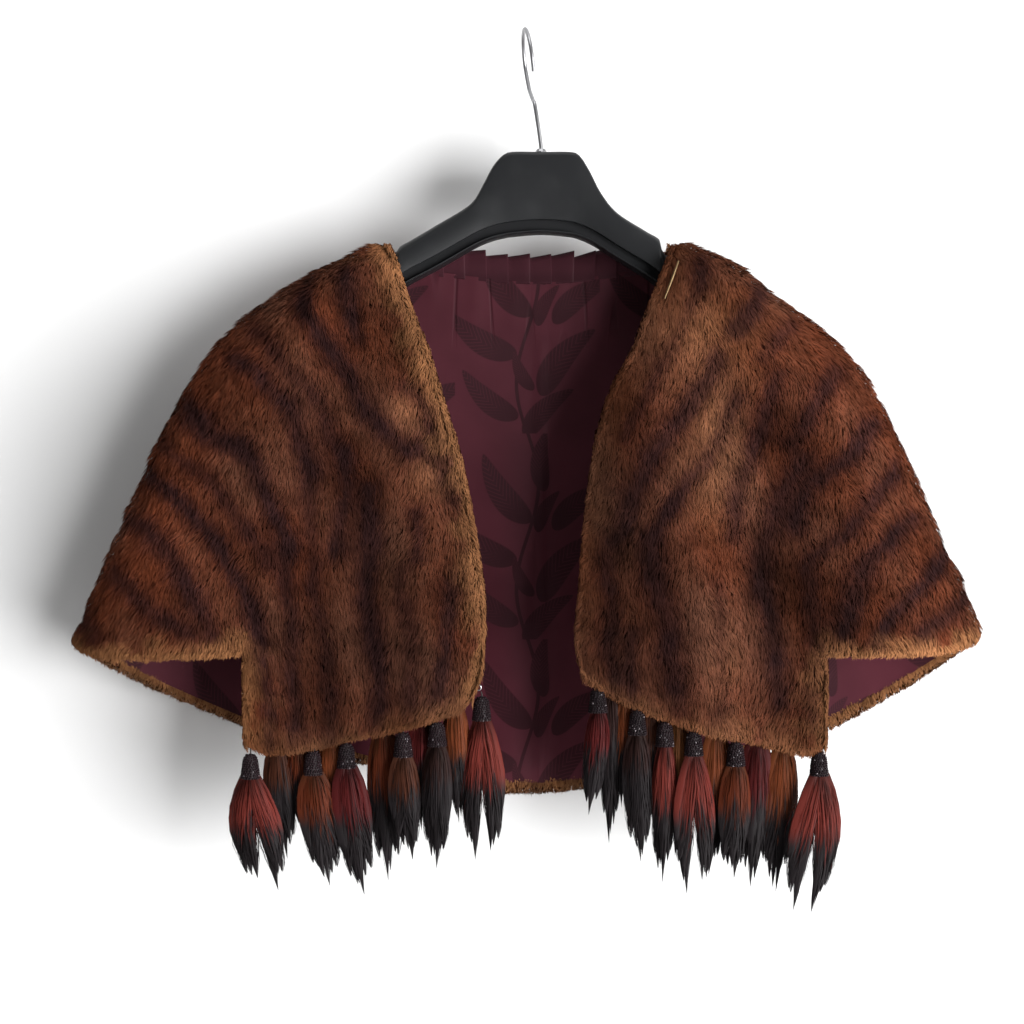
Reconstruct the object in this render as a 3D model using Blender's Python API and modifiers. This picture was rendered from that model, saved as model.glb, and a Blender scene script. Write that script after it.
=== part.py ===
"""Fur stole with dyed tail fringe, hanging open on a wide-shouldered coat hanger.

Run with: blender --background --python part.py

Metres, +Z up. The origin is the inside of the hook's crown, where a rail or peg holds it.
+X runs to the viewer's right, the open front faces -Y and the back faces +Y. "left" and
"right" are as a viewer in front sees them. The tables are in millimetres, and MM turns
them into metres where a mesh or curve is made.

The pelt of each half is one smooth form: a front and a back that meet in a shoulder seam
on top of the hanger's arm, and a sleeve whose rings run from the front seam round the
outline to the back seam. Each wall is that form's points moved in along their normals,
so pelt and lining stay parallel and meet at their seams with the same small gap.
"""

import math
from typing import NamedTuple

import bmesh
import bpy
import numpy as np
from mathutils.bvhtree import BVHTree

MM = 0.001
SIDES = ("left", "right")
OUTWARD = {"left": -1.0, "right": 1.0}

# Walls, in millimetres
FUR_WALL = 8.0
LINING_GAP = 0.5
LINING_WALL = 1.0
SEAM_INSET = 0.25
LINING_INSET = 8.5
HANGER_GAP = 0.6
TOUCH = 0.35

# Rows and columns of the pelt's grids
ARC_ROWS = 5
SEAM_ROWS = 8
STEP_ROWS = 2
SHOULDER_COLUMNS = 6
# The back's columns between the neck points, as shares of the neckline
NECK_SHARES = (0.0, 0.045, 0.10, 0.20, 0.35, 0.50, 0.65, 0.80, 0.90, 0.955, 1.0)
NECK_COLUMNS = len(NECK_SHARES) - 1

# Depths from the shoulder line, in millimetres
NECK_RADIUS = 27.0
SHOULDER_RADIUS = 36.0
BACK_NECK_RADIUS = 34.0
FRONT_HEM_DEPTH = 50.0
BACK_HEM_DEPTH = 41.0
FALL_LENGTH = 330.0
# How far a sleeve's hem hangs below the straight line from its tip to its seam
SLEEVE_SAG = 9.0


class Spot(NamedTuple):
    """A place in the front view, in millimetres."""

    x: float
    z: float


class NeckSpot(NamedTuple):
    """A place on the back neckline, in millimetres."""

    x: float
    y: float
    z: float


class Fold(NamedTuple):
    """A soft upright fold: its place, half width, height at the hem and where it starts."""

    x: float
    width: float
    height: float
    top: float


class ArmSection(NamedTuple):
    """A section of the hanger: its place, top, underside, half depth and crown radius."""

    x: float
    top: float
    bottom: float
    half_depth: float
    crown: float


class Tail(NamedTuple):
    """A hanging tail: x at its top and tip, z at its tip, half width, and its cap's drop."""

    top_x: float
    tip_x: float
    tip_z: float
    half_width: float
    thread: float


# From the neck point over the shoulder and down the sleeve's outline to its tip
SHOULDER_LINE = {
    "left": [
        Spot(-107, -169), Spot(-128, -172), Spot(-150, -182), Spot(-181, -198),
        Spot(-217, -222), Spot(-251, -254), Spot(-287, -312), Spot(-317, -380),
        Spot(-343, -438), Spot(-362, -486),
    ],
    "right": [
        Spot(117, -169), Spot(142, -172), Spot(168, -185), Spot(194, -203),
        Spot(219, -222), Spot(252, -248), Spot(278, -280), Spot(311, -348),
        Spot(338, -410), Spot(355, -448), Spot(366, -480),
    ],
}
SHOULDER_POINT_X = {"left": -166.0, "right": 175.0}

# From the neck point down the open front edge to the hem's corner
FRONT_EDGE = {
    "left": [
        Spot(-107, -169), Spot(-101, -180), Spot(-89, -218), Spot(-74, -257),
        Spot(-61, -300), Spot(-46, -351), Spot(-36, -406), Spot(-30, -452),
        Spot(-31, -498), Spot(-38, -524),
    ],
    "right": [
        Spot(117, -169), Spot(113, -180), Spot(98, -218), Spot(83, -257),
        Spot(63, -297), Spot(51, -351), Spot(45, -406), Spot(41, -452),
        Spot(39, -484), Spot(44, -508),
    ],
}

# From that corner along the front hem to its outer corner, below the step
FRONT_HEM = {
    "left": [
        Spot(-38, -524), Spot(-44, -533), Spot(-60, -541), Spot(-96, -552),
        Spot(-134, -560), Spot(-180, -569), Spot(-206, -568), Spot(-218, -560),
    ],
    "right": [
        Spot(44, -508), Spot(58, -521), Spot(97, -540), Spot(135, -552),
        Spot(181, -563), Spot(214, -571), Spot(228, -569), Spot(234, -560),
    ],
}
FRONT_NOTCH = {"left": Spot(-219, -494), "right": Spot(235, -494)}

# The back hem, from one sleeve seam to the other
BACK_HEM = [
    Spot(-225, -561), Spot(-150, -584), Spot(-75, -604), Spot(5, -613),
    Spot(90, -605), Spot(165, -587), Spot(240, -568),
]
BACK_HEM_AT_NECK = 0.22

NECKLINE = [
    NeckSpot(-107, 0, -169), NeckSpot(-106, 13, -171.5), NeckSpot(-101, 23, -177.5),
    NeckSpot(-90, 28, -182), NeckSpot(-67, 30.5, -185.5), NeckSpot(-42, 32, -189.5),
    NeckSpot(-4, 33, -194), NeckSpot(35, 33, -194), NeckSpot(60, 32, -189.5),
    NeckSpot(77, 30.5, -186), NeckSpot(99, 28, -182), NeckSpot(111, 23, -177.5),
    NeckSpot(116, 13, -171.5), NeckSpot(117, 0, -169),
]

FRONT_FOLDS = [
    Fold(-76, 24, 4.5, -300), Fold(-128, 22, -4.0, -280), Fold(-186, 24, 4.0, -320),
    Fold(-268, 30, 3.5, -350), Fold(88, 24, -3.5, -300), Fold(138, 26, 4.5, -280),
    Fold(192, 22, -4.0, -320), Fold(276, 32, 3.5, -350),
]
BACK_FOLDS = [
    Fold(-190, 26, 4.0, -330), Fold(-132, 24, -4.0, -300), Fold(-72, 28, 4.5, -260),
    Fold(-12, 24, -4.0, -230), Fold(46, 26, 4.0, -250), Fold(108, 26, -4.5, -280),
    Fold(178, 28, 4.0, -320),
]

# Neck ruffle
RUFFLE_HEIGHT = 22.0
RUFFLE_PLEATS = 12
RUFFLE_WALL = 1.0
RUFFLE_START = 0.13
RUFFLE_END = 0.87
PLEAT_FACE = 0.8
RUFFLE_ROWS = ((0.0, 1.2, 0.0), (0.4, 3.2, 0.6), (1.0, 5.0, 2.6))
PLEAT_STEP = 2.2

# Hanger: its seen sections; its arms under the stole follow the shoulder line
HANGER_CENTRE_X = 13.6
HANGER_NECK = [
    ArmSection(-99, -172, -205, 13.6, 11.5), ArmSection(-90, -167, -200, 13.2, 10),
    ArmSection(-70, -155.5, -189.5, 12.6, 8), ArmSection(-43, -139, -174, 12, 6),
    ArmSection(-33, -124, -169, 11.5, 5), ArmSection(-25, -109, -166, 11.2, 5),
    ArmSection(-17, -100, -164, 11, 4.5), ArmSection(-9, -97.3, -162.7, 11, 4),
    ArmSection(13.6, -97.3, -161, 11, 4), ArmSection(36, -97.3, -162.7, 11, 4),
    ArmSection(44, -100, -164.7, 11, 4.5), ArmSection(52, -112, -168, 11.2, 5),
    ArmSection(61, -129.6, -173, 11.5, 5), ArmSection(74, -145.6, -181.5, 12, 6),
    ArmSection(97, -160, -195.5, 12.8, 9), ArmSection(108, -166.5, -203, 13.4, 11.5),
]
ARM_START_X = {"left": -106.0, "right": 114.0}
ARM_END_X = {"left": -199.0, "right": 227.0}
# Along the hidden arm: share of its length, half depth and height
ARM_FORM = [(0.0, 13.4, 24.0), (0.3, 17.5, 23.0), (0.6, 16.4, 21.0), (0.75, 13.2, 18.0),
            (0.9, 10.5, 14.0), (1.0, 5.0, 9.0)]
ARM_END_DROP = {0.6: 0.8, 0.75: 3.0, 0.9: 7.0, 1.0: 12.0}
SECTION_EDGE = 2.0

# Hook
HOOK_WIRE = 3.2
HOOK_RADIUS = 25.0
HOOK_TURN = math.radians(5.0)
HOOK_STEM_FOOT = -109.0
HOOK_STEM_STRAIGHT = -92.0
HOOK_BEND_Z = -60.0
HOOK_TIP_ANGLE = math.radians(212.0)
BORE_RADIUS = 2.1
BORE_FLOOR = -110.5
FERRULE_RADIUS = 4.6
FERRULE_HEIGHT = 3.0

# Fringe: dyed tails, in beaded caps on threads or sewn straight to the hem
CAPPED_TAILS = {
    "left": [
        Tail(-211.7, -197, -674, 12.0, 7.0), Tail(-163.4, -151.3, -670.6, 10.5, 0.6),
        Tail(-137.9, -124, -678.3, 10.5, 0.6), Tail(-93.7, -88.2, -650, 10.0, 0.6),
        Tail(-67.4, -68.8, -656.5, 10.0, 0.6), Tail(-33.2, -32.5, -652, 10.5, 2.4),
    ],
    "right": [
        Tail(57, 50, -616, 8.0, 0.6), Tail(87.4, 90.7, -652.6, 9.5, 0.6),
        Tail(108.6, 106.0, -668, 8.0, 0.6), Tail(130.6, 131, -677, 9.5, 0.6),
        Tail(163.3, 160.8, -665.6, 10.0, 0.6), Tail(227.8, 214, -692, 12.0, 5.0),
    ],
}
CORNER_TAIL = ("left", 6)
PLAIN_TAILS = {
    "left": [
        Tail(-192, -184.8, -652, 7.0, 0), Tail(-176.6, -174, -627, 6.5, 0),
        Tail(-151.9, -148, -632, 7.0, 0), Tail(-110, -105, -669.8, 8.5, 0),
        Tail(-79.7, -79, -630, 7.0, 0), Tail(-54.2, -50, -624, 6.5, 0),
    ],
    "right": [
        Tail(67, 67, -641, 4.8, 0), Tail(77.5, 76.5, -612, 4.6, 0),
        Tail(98.7, 97, -627, 7.0, 0), Tail(119.4, 118, -650, 6.5, 0),
        Tail(148.7, 142.2, -667.3, 8.5, 0), Tail(181, 177, -675, 8.5, 0),
        Tail(201, 194.7, -679, 8.0, 0),
    ],
}
CAP_HEIGHT = 20.0
CAP_TOP_RADIUS = 4.0
CAP_FOOT_RADIUS = 6.6
THREAD_RADIUS = 0.8
CAP_STEPS = 10
TAIL_SIDES = 8
# Along a tail: share of its length, width and depth as shares of the widest
TAIL_FORM = [(0.0, 0.45, 0.5), (0.14, 0.85, 0.9), (0.42, 1.0, 1.0), (0.68, 0.8, 0.85),
             (0.88, 0.42, 0.5), (1.0, 0.08, 0.12)]
TAIL_HALF_DEPTH = 5.2
PLAIN_TAIL_RISE = 5.0
PLAIN_TAIL_BACK = 5.5

# Small metal fastenings
RING_RADIUS = 2.2
RING_WIRE = 0.6
RING_X = -35.8
BAR_FROM = Spot(122, -187)
BAR_TO = Spot(114.5, -212)
BAR_RADIUS = 1.2


class Finish(NamedTuple):
    """A plain colour for the solids."""

    colour: tuple
    roughness: float
    metallic: float


FINISHES = {
    "fur": Finish((0.30, 0.13, 0.05), 0.8, 0.0),
    "lining": Finish((0.11, 0.025, 0.045), 0.45, 0.0),
    "ruffle": Finish((0.12, 0.03, 0.05), 0.45, 0.0),
    "black_plastic": Finish((0.02, 0.022, 0.025), 0.45, 0.0),
    "wire": Finish((0.62, 0.62, 0.63), 0.25, 1.0),
    "gold": Finish((0.70, 0.52, 0.24), 0.3, 1.0),
    "beads": Finish((0.03, 0.022, 0.026), 0.2, 0.0),
    "capped_tail": Finish((0.25, 0.05, 0.04), 0.7, 0.0),
    "plain_tail": Finish((0.28, 0.10, 0.03), 0.7, 0.0),
}


def clear_scene():
    """Removes every object that the file starts with."""
    for thing in list(bpy.data.objects):
        bpy.data.objects.remove(thing, do_unlink=True)


def new_collection(name, hidden=False):
    """A collection in the scene."""
    collection = bpy.data.collections.new(name)
    collection.hide_render = hidden
    bpy.context.scene.collection.children.link(collection)
    return collection


def material_of(name):
    """The material of a finish, made once."""
    found = bpy.data.materials.get(name)
    if found:
        return found
    finish = FINISHES[name]
    made = bpy.data.materials.new(name)
    made.use_nodes = True
    shader = made.node_tree.nodes["Principled BSDF"]
    shader.inputs["Base Color"].default_value = (*finish.colour, 1.0)
    shader.inputs["Roughness"].default_value = finish.roughness
    shader.inputs["Metallic"].default_value = finish.metallic
    made.diffuse_color = (*finish.colour, 1.0)
    return made


def closed_object(name, points, faces, finish, collection):
    """An object from points in millimetres and the faces of one closed body."""
    shape = bmesh.new()
    corners = [shape.verts.new(np.asarray(point, float) * MM) for point in points]
    for face in faces:
        shape.faces.new([corners[index] for index in face])
    bmesh.ops.triangulate(shape, faces=shape.faces[:])
    bmesh.ops.recalc_face_normals(shape, faces=shape.faces[:])
    mesh = bpy.data.meshes.new(name)
    shape.to_mesh(mesh)
    shape.free()
    mesh.shade_smooth()
    mesh.set_sharp_from_angle(angle=math.radians(40))
    mesh.materials.append(material_of(finish))
    made = bpy.data.objects.new(name, mesh)
    collection.objects.link(made)
    return made


def unit(vector):
    """The vector at length one."""
    vector = np.asarray(vector, float)
    length = np.linalg.norm(vector)
    return vector / length if length else vector


def smoothstep(value):
    """A soft step from 0 to 1."""
    value = np.clip(value, 0.0, 1.0)
    return value * value * (3.0 - 2.0 * value)


class Route:
    """A smooth curve through spots, read by its share of length."""

    STEPS = 12

    def __init__(self, spots):
        knots = np.array(spots, float)
        ends = np.vstack([2 * knots[0] - knots[1], knots, 2 * knots[-1] - knots[-2]])
        line = [knots[0]]
        for index in range(1, len(ends) - 2):
            before, start, end, after = ends[index - 1:index + 3]
            for step in range(1, self.STEPS + 1):
                t = step / self.STEPS
                line.append(
                    0.5 * (2 * start + (end - before) * t
                           + (2 * before - 5 * start + 4 * end - after) * t * t
                           + (3 * start - before - 3 * end + after) * t ** 3)
                )
        self.line = np.array(line)
        strides = np.linalg.norm(np.diff(self.line, axis=0), axis=1)
        self.length = np.concatenate([[0.0], np.cumsum(strides)])
        self.share = self.length / self.length[-1]

    def at(self, share):
        """The place at a share of the length from 0 to 1."""
        columns = self.line.T
        return np.array([np.interp(share, self.share, column) for column in columns])

    def share_at(self, axis, value):
        """The share of length at which a coordinate has a value."""
        column = self.line[:, axis]
        order = np.argsort(column)
        return float(np.interp(value, column[order], self.share[order]))

    def height_at(self, x):
        """z on a curve of (x, z) at an x."""
        order = np.argsort(self.line[:, 0])
        return float(np.interp(x, self.line[order, 0], self.line[order, -1]))


def straight(start, end, count):
    """count + 1 even points from start to end."""
    return [np.asarray(start, float) + (np.asarray(end, float) - start) * index / count
            for index in range(count + 1)]


def fold_height(folds, x, z, floor):
    """How far the folds lift the cloth at a place."""
    height = 0.0
    for fold in folds:
        rise = smoothstep((fold.top - z) / (fold.top - floor))
        height += fold.height * rise * math.exp(-((x - fold.x) / fold.width) ** 2)
    return height


def fallen_depth(radius, hem_depth, drop):
    """The cloth's depth below the shoulder's arc, easing to its depth at the hem."""
    return radius + (hem_depth - radius) * smoothstep((drop - radius) / FALL_LENGTH)


def coons(top, bottom, first, last):
    """The grid of (x, z) between four edges that share their corners."""
    rows, columns = len(first) - 1, len(top) - 1
    grid = np.zeros((rows + 1, columns + 1, 2))
    for row in range(rows + 1):
        t = row / rows
        for column in range(columns + 1):
            u = column / columns
            edges = (1 - t) * top[column] + t * bottom[column]
            sides = (1 - u) * first[row] + u * last[row]
            corners = ((1 - t) * ((1 - u) * top[0] + u * top[-1])
                       + t * ((1 - u) * bottom[0] + u * bottom[-1]))
            grid[row, column] = edges + sides - corners
    return grid


def arc_angles():
    """The angles of the rows that turn over the shoulder line, from its top."""
    return [math.pi / 2 * row / ARC_ROWS for row in range(ARC_ROWS + 1)]


def front_grid(side):
    """The outer points of a front: rows from the shoulder seam down, columns outward."""
    shoulder = Route(SHOULDER_LINE[side])
    edge = Route(FRONT_EDGE[side])
    point_share = shoulder.share_at(0, SHOULDER_POINT_X[side])
    columns = SHOULDER_COLUMNS
    rows = ARC_ROWS + SEAM_ROWS + STEP_ROWS
    grid = np.zeros((rows + 1, columns + 1, 3))
    radii = [NECK_RADIUS + (SHOULDER_RADIUS - NECK_RADIUS) * c / columns
             for c in range(columns + 1)]
    tops = [shoulder.at(point_share * c / columns) for c in range(columns + 1)]
    for c, (radius, top) in enumerate(zip(radii, tops)):
        for row, angle in enumerate(arc_angles()):
            drop = radius * (1 - math.cos(angle))
            edge_x = edge.at(edge.share_at(1, tops[0][1] - drop))[0] - tops[0][0]
            grid[row, c] = (top[0] + (1 - c / columns) * edge_x, -radius * math.sin(angle),
                            top[1] - drop)
    arc_end = grid[ARC_ROWS][:, [0, 2]]
    below = SEAM_ROWS + STEP_ROWS
    edge_start = edge.share_at(1, arc_end[0][1])
    first = [edge.at(edge_start + (1 - edge_start) * row / below) for row in range(below + 1)]
    first[0] = arc_end[0]
    hem = Route(FRONT_HEM[side])
    bottom = [hem.at(c / columns) for c in range(columns + 1)]
    last = straight(arc_end[-1], FRONT_NOTCH[side], SEAM_ROWS)
    last += straight(FRONT_NOTCH[side], bottom[-1], STEP_ROWS)[1:]
    flat = coons(arc_end, bottom, first, last)
    for row in range(1, below + 1):
        for c in range(columns + 1):
            x, z = flat[row, c]
            depth = fallen_depth(radii[c], FRONT_HEM_DEPTH, tops[c][1] - z)
            depth += fold_height(FRONT_FOLDS, x, z, FRONT_HEM[side][-2].z)
            grid[ARC_ROWS + row, c] = (x, -depth, z)
    return grid


def back_tops():
    """The back's top points from the left shoulder to the right, with their radii."""
    tops, radii = [], []
    neckline = Route(NECKLINE)
    for side in SIDES:
        shoulder = Route(SHOULDER_LINE[side])
        point_share = shoulder.share_at(0, SHOULDER_POINT_X[side])
        run = [shoulder.at(point_share * c / SHOULDER_COLUMNS)
               for c in range(SHOULDER_COLUMNS + 1)]
        run = [np.array((x, 0.0, z)) for x, z in run]
        run_radii = [NECK_RADIUS + (SHOULDER_RADIUS - NECK_RADIUS) * c / SHOULDER_COLUMNS
                     for c in range(SHOULDER_COLUMNS + 1)]
        if side == "left":
            tops += run[::-1]
            radii += run_radii[::-1]
            for share in NECK_SHARES[1:-1]:
                tops.append(neckline.at(share))
                bulge = math.sin(math.pi * share) ** 0.5
                radii.append(NECK_RADIUS + (BACK_NECK_RADIUS - NECK_RADIUS) * bulge)
        else:
            tops += run
            radii += run_radii
    return tops, radii


def back_hem_shares():
    """Where the back's columns meet its hem, as shares of the hem."""
    shares = []
    for c in range(SHOULDER_COLUMNS + 1):
        shares.append(BACK_HEM_AT_NECK * c / SHOULDER_COLUMNS)
    for share in NECK_SHARES[1:-1]:
        shares.append(BACK_HEM_AT_NECK + (1 - 2 * BACK_HEM_AT_NECK) * share)
    for c in range(SHOULDER_COLUMNS + 1):
        shares.append(1 - BACK_HEM_AT_NECK * (1 - c / SHOULDER_COLUMNS))
    return shares


def back_grid():
    """The outer points of the back: rows from the neck down, columns from left to right."""
    tops, radii = back_tops()
    columns = len(tops) - 1
    grid = np.zeros((ARC_ROWS + SEAM_ROWS + 1, columns + 1, 3))
    for c, (top, radius) in enumerate(zip(tops, radii)):
        for row, angle in enumerate(arc_angles()):
            y = top[1] + (radius - top[1]) * math.sin(angle)
            grid[row, c] = (top[0], y, top[2] - radius * (1 - math.cos(angle)))
    hem = Route(BACK_HEM)
    bottom = [hem.at(share) for share in back_hem_shares()]
    arc_end = grid[ARC_ROWS][:, [0, 2]]
    first = straight(arc_end[0], bottom[0], SEAM_ROWS)
    last = straight(arc_end[-1], bottom[-1], SEAM_ROWS)
    flat = coons(arc_end, bottom, first, last)
    for row in range(1, SEAM_ROWS + 1):
        for c in range(columns + 1):
            x, z = flat[row, c]
            depth = fallen_depth(radii[c], BACK_HEM_DEPTH, tops[c][2] - z)
            depth += fold_height(BACK_FOLDS, x, z, BACK_HEM[3].z)
            grid[ARC_ROWS + row, c] = (x, depth, z)
    return grid


def sleeve_grid(side, front, back):
    """The outer points of a sleeve: rings down its length, columns from front to back."""
    shoulder = Route(SHOULDER_LINE[side])
    point_share = shoulder.share_at(0, SHOULDER_POINT_X[side])
    front_seam = front[:, -1]
    back_seam = back[:, 0] if side == "left" else back[:, -1]
    grid = np.zeros((SEAM_ROWS + 1, 2 * ARC_ROWS + 1, 3))
    for ring in range(SEAM_ROWS + 1):
        share = point_share + (1 - point_share) * ring / SEAM_ROWS
        x, z = shoulder.at(share)
        outline = np.array((x, 0.0, z))
        for half, seam in ((-1, front_seam), (1, back_seam)):
            end = seam[ARC_ROWS + ring]
            centre = np.array((end[0], 0.0, end[2]))
            for step, angle in enumerate(arc_angles()):
                place = (centre + (outline - centre) * math.cos(angle)
                         + (end - centre) * math.sin(angle))
                place[2] -= SLEEVE_SAG * math.sin(2 * angle) * (ring / SEAM_ROWS) ** 2
                grid[ring, ARC_ROWS + half * step] = place
    for step in range(ARC_ROWS + 1):
        grid[0, ARC_ROWS - step] = front_seam[step]
        grid[0, ARC_ROWS + step] = back_seam[step]
    return grid


def grid_normals(grids):
    """Outward normals at every grid point, averaged over all the grids that share it."""
    totals = {}

    def key(place):
        return tuple(np.round(place, 3))

    for grid, outward in grids:
        sums = np.zeros_like(grid)
        rows, columns = grid.shape[0] - 1, grid.shape[1] - 1
        for row in range(rows):
            for column in range(columns):
                a, b = grid[row, column], grid[row, column + 1]
                c, d = grid[row + 1, column + 1], grid[row + 1, column]
                normal = np.cross(c - a, d - b)
                for r, k in ((0, 0), (0, 1), (1, 1), (1, 0)):
                    sums[row + r, column + k] += normal
        middle = sums[rows // 2, columns // 2]
        if np.dot(middle, outward) < 0:
            sums = -sums
        for place, total in zip(grid.reshape(-1, 3), sums.reshape(-1, 3)):
            totals[key(place)] = totals.get(key(place), 0) + total
    return [np.array([[unit(totals[key(place)]) for place in row] for row in grid])
            for grid, _ in grids]


class Insets(NamedTuple):
    """How far a wall's four edges are moved in, in millimetres, one value per point."""

    top: list
    bottom: list
    first: list
    last: list


def inset_layer(layer, insets):
    """One face of a wall with its edges moved in along the cloth."""
    moved = layer.copy()
    rows, columns = layer.shape[0], layer.shape[1]
    for column in range(columns):
        moved[0, column] += insets.top[column] * unit(layer[1, column] - layer[0, column])
        moved[-1, column] += insets.bottom[column] * unit(layer[-2, column] - layer[-1, column])
    for row in range(rows):
        moved[row, 0] += insets.first[row] * unit(layer[row, 1] - layer[row, 0])
        moved[row, -1] += insets.last[row] * unit(layer[row, -2] - layer[row, -1])
    return moved


def cloth_wall(name, grid, normals, near, far, insets, finish, collection):
    """A closed wall between two depths under a grid of outer points."""
    outer = inset_layer(grid - near * normals, insets)
    inner = inset_layer(grid - far * normals, insets)
    rows, columns = grid.shape[0], grid.shape[1]
    count = rows * columns
    points = np.vstack([outer.reshape(-1, 3), inner.reshape(-1, 3)])
    faces = []

    def corner(row, column, layer):
        return row * columns + column + layer * count

    for row in range(rows - 1):
        for column in range(columns - 1):
            ring = [(row, column), (row, column + 1), (row + 1, column + 1), (row + 1, column)]
            top = [corner(r, c, 0) for r, c in ring]
            bottom = [corner(r, c, 1) for r, c in ring]
            faces += [(top[0], top[1], top[2]), (top[0], top[2], top[3])]
            faces += [(bottom[2], bottom[1], bottom[0]), (bottom[3], bottom[2], bottom[0])]
    rim = [(0, c) for c in range(columns)] + [(r, columns - 1) for r in range(1, rows)]
    rim += [(rows - 1, c) for c in range(columns - 2, -1, -1)]
    rim += [(r, 0) for r in range(rows - 2, 0, -1)]
    for index, (row, column) in enumerate(rim):
        after = rim[(index + 1) % len(rim)]
        faces.append((corner(row, column, 0), corner(row, column, 1),
                      corner(*after, 1), corner(*after, 0)))
    return closed_object(name, points, faces, finish, collection)


def even(value, count):
    """The same inset at every point of an edge."""
    return [value] * count


def front_insets(grid, free):
    """A front's insets: seams at the shoulder and sleeve, free below the step."""
    rows, columns = grid.shape[0], grid.shape[1]
    seam_rows = ARC_ROWS + SEAM_ROWS + 1
    last = even(SEAM_INSET, seam_rows) + even(free, rows - seam_rows)
    return Insets(even(SEAM_INSET, columns), even(free, columns), even(free, rows), last)


def sleeve_insets(grid, free):
    """A sleeve's insets: seams all round but for its open hem."""
    rows, columns = grid.shape[0], grid.shape[1]
    return Insets(even(SEAM_INSET, columns), even(free, columns),
                  even(SEAM_INSET, rows), even(SEAM_INSET, rows))


def back_insets(grid, free):
    """The back's insets: seams at shoulders and sleeves, the neckline left whole."""
    rows, columns = grid.shape[0], grid.shape[1]
    neck = range(SHOULDER_COLUMNS + 1, SHOULDER_COLUMNS + NECK_COLUMNS)
    top = [0.0 if column in neck else SEAM_INSET for column in range(columns)]
    return Insets(top, even(free, columns), even(SEAM_INSET, rows), even(SEAM_INSET, rows))


def build_cloth(collection):
    """The pelt and its lining. Returns the grids and normals that other pieces lie on."""
    back = back_grid()
    grids, names, insets = [], [], []
    for side in SIDES:
        front = front_grid(side)
        sleeve = sleeve_grid(side, front, back)
        grids += [(front, (0.0, -1.0, 0.0)), (sleeve, (OUTWARD[side], 0.0, 0.6))]
        names += [f"front_{side}", f"sleeve_{side}"]
        insets += [front_insets, sleeve_insets]
    grids.append((back, (0.0, 1.0, 0.0)))
    names.append("back")
    insets.append(back_insets)
    normals = grid_normals(grids)
    lining_near = FUR_WALL + LINING_GAP
    for name, (grid, _), normal, inset in zip(names, grids, normals, insets):
        cloth_wall(f"fur_{name}", grid, normal, 0.0, FUR_WALL, inset(grid, 0.0), "fur",
                   collection)
        cloth_wall(f"lining_{name}", grid, normal, lining_near, lining_near + LINING_WALL,
                   inset(grid, LINING_INSET), "lining", collection)
    return {name: (grid, normal) for name, (grid, _), normal in zip(names, grids, normals)}


def build_ruffle(cloth, collection):
    """The pleated frill that stands on the lining's edge round the back of the neck."""
    grid, normals = cloth["back"]
    neck = slice(SHOULDER_COLUMNS, SHOULDER_COLUMNS + NECK_COLUMNS + 1)
    middle = FUR_WALL + LINING_GAP + LINING_WALL / 2
    seam = Route([p - middle * n for p, n in zip(grid[0, neck], normals[0, neck])])
    profile = []
    for pleat in range(RUFFLE_PLEATS):
        profile += [(pleat, 0.0), (pleat + PLEAT_FACE, 1.0)]
    profile.append((RUFFLE_PLEATS, 0.0))
    layers = []
    for front_face in (0.0, RUFFLE_WALL):
        rows = []
        for rise, depth, lean in RUFFLE_ROWS:
            row = []
            for place, crest in profile:
                along = RUFFLE_START + (RUFFLE_END - RUFFLE_START) * place / RUFFLE_PLEATS
                foot = seam.at(along)
                top = rise * (RUFFLE_HEIGHT + PLEAT_STEP * (crest - 0.5))
                y = foot[1] - 2 * TOUCH + lean - depth * crest - front_face
                row.append((foot[0], y, foot[2] + TOUCH + LINING_WALL / 2 + top))
            rows.append(row)
        layers.append(np.array(rows))
    columns, rows = len(profile), len(RUFFLE_ROWS)
    points = np.vstack([layer.reshape(-1, 3) for layer in layers])
    count = rows * columns
    faces = []
    for layer in (0, count):
        for row in range(rows - 1):
            for c in range(columns - 1):
                a = layer + row * columns + c
                faces.append((a, a + 1, a + 1 + columns, a + columns))
    rim = [c for c in range(columns)] + [r * columns + columns - 1 for r in range(1, rows)]
    rim += [(rows - 1) * columns + c for c in range(columns - 2, -1, -1)]
    rim += [r * columns for r in range(rows - 2, 0, -1)]
    for index, corner in enumerate(rim):
        after = rim[(index + 1) % len(rim)]
        faces.append((corner, after, after + count, corner + count))
    closed_object("neck_ruffle", points, faces, "ruffle", collection)


def hanger_section(section):
    """One outline of the hanger, crowned on top, in the plane across its arm."""
    h, crown = section.half_depth, min(section.crown, section.half_depth - 1.0)
    outline = [(-h, section.bottom + SECTION_EDGE)]
    for side, angles in ((-1, (180, 135, 90)), (1, (90, 45, 0))):
        for angle in angles:
            turn = math.radians(angle)
            outline.append((side * (h - crown) + crown * math.cos(turn),
                            section.top - crown + crown * math.sin(turn)))
    outline += [(h, section.bottom + SECTION_EDGE), (h - SECTION_EDGE, section.bottom),
                (-h + SECTION_EDGE, section.bottom)]
    return [(section.x, y, z) for y, z in outline]


def arm_sections(side):
    """The hanger's arm under the stole, just inside the lining along the shoulder line."""
    line = Route(SHOULDER_LINE[side]).line
    slopes = np.gradient(line[:, 1], line[:, 0])
    depth = FUR_WALL + LINING_GAP + LINING_WALL + HANGER_GAP
    tilt = np.arctan(slopes)
    x = line[:, 0] + depth * np.sin(tilt)
    z = line[:, 1] - depth * np.cos(tilt)
    order = np.argsort(x)
    sections = []
    for share, half_depth, height in ARM_FORM:
        place = ARM_START_X[side] + (ARM_END_X[side] - ARM_START_X[side]) * share
        top = float(np.interp(place, x[order], z[order])) - ARM_END_DROP.get(share, 0.0)
        sections.append(ArmSection(place, top, top - height, half_depth, half_depth - 1.0))
    return sections


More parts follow.
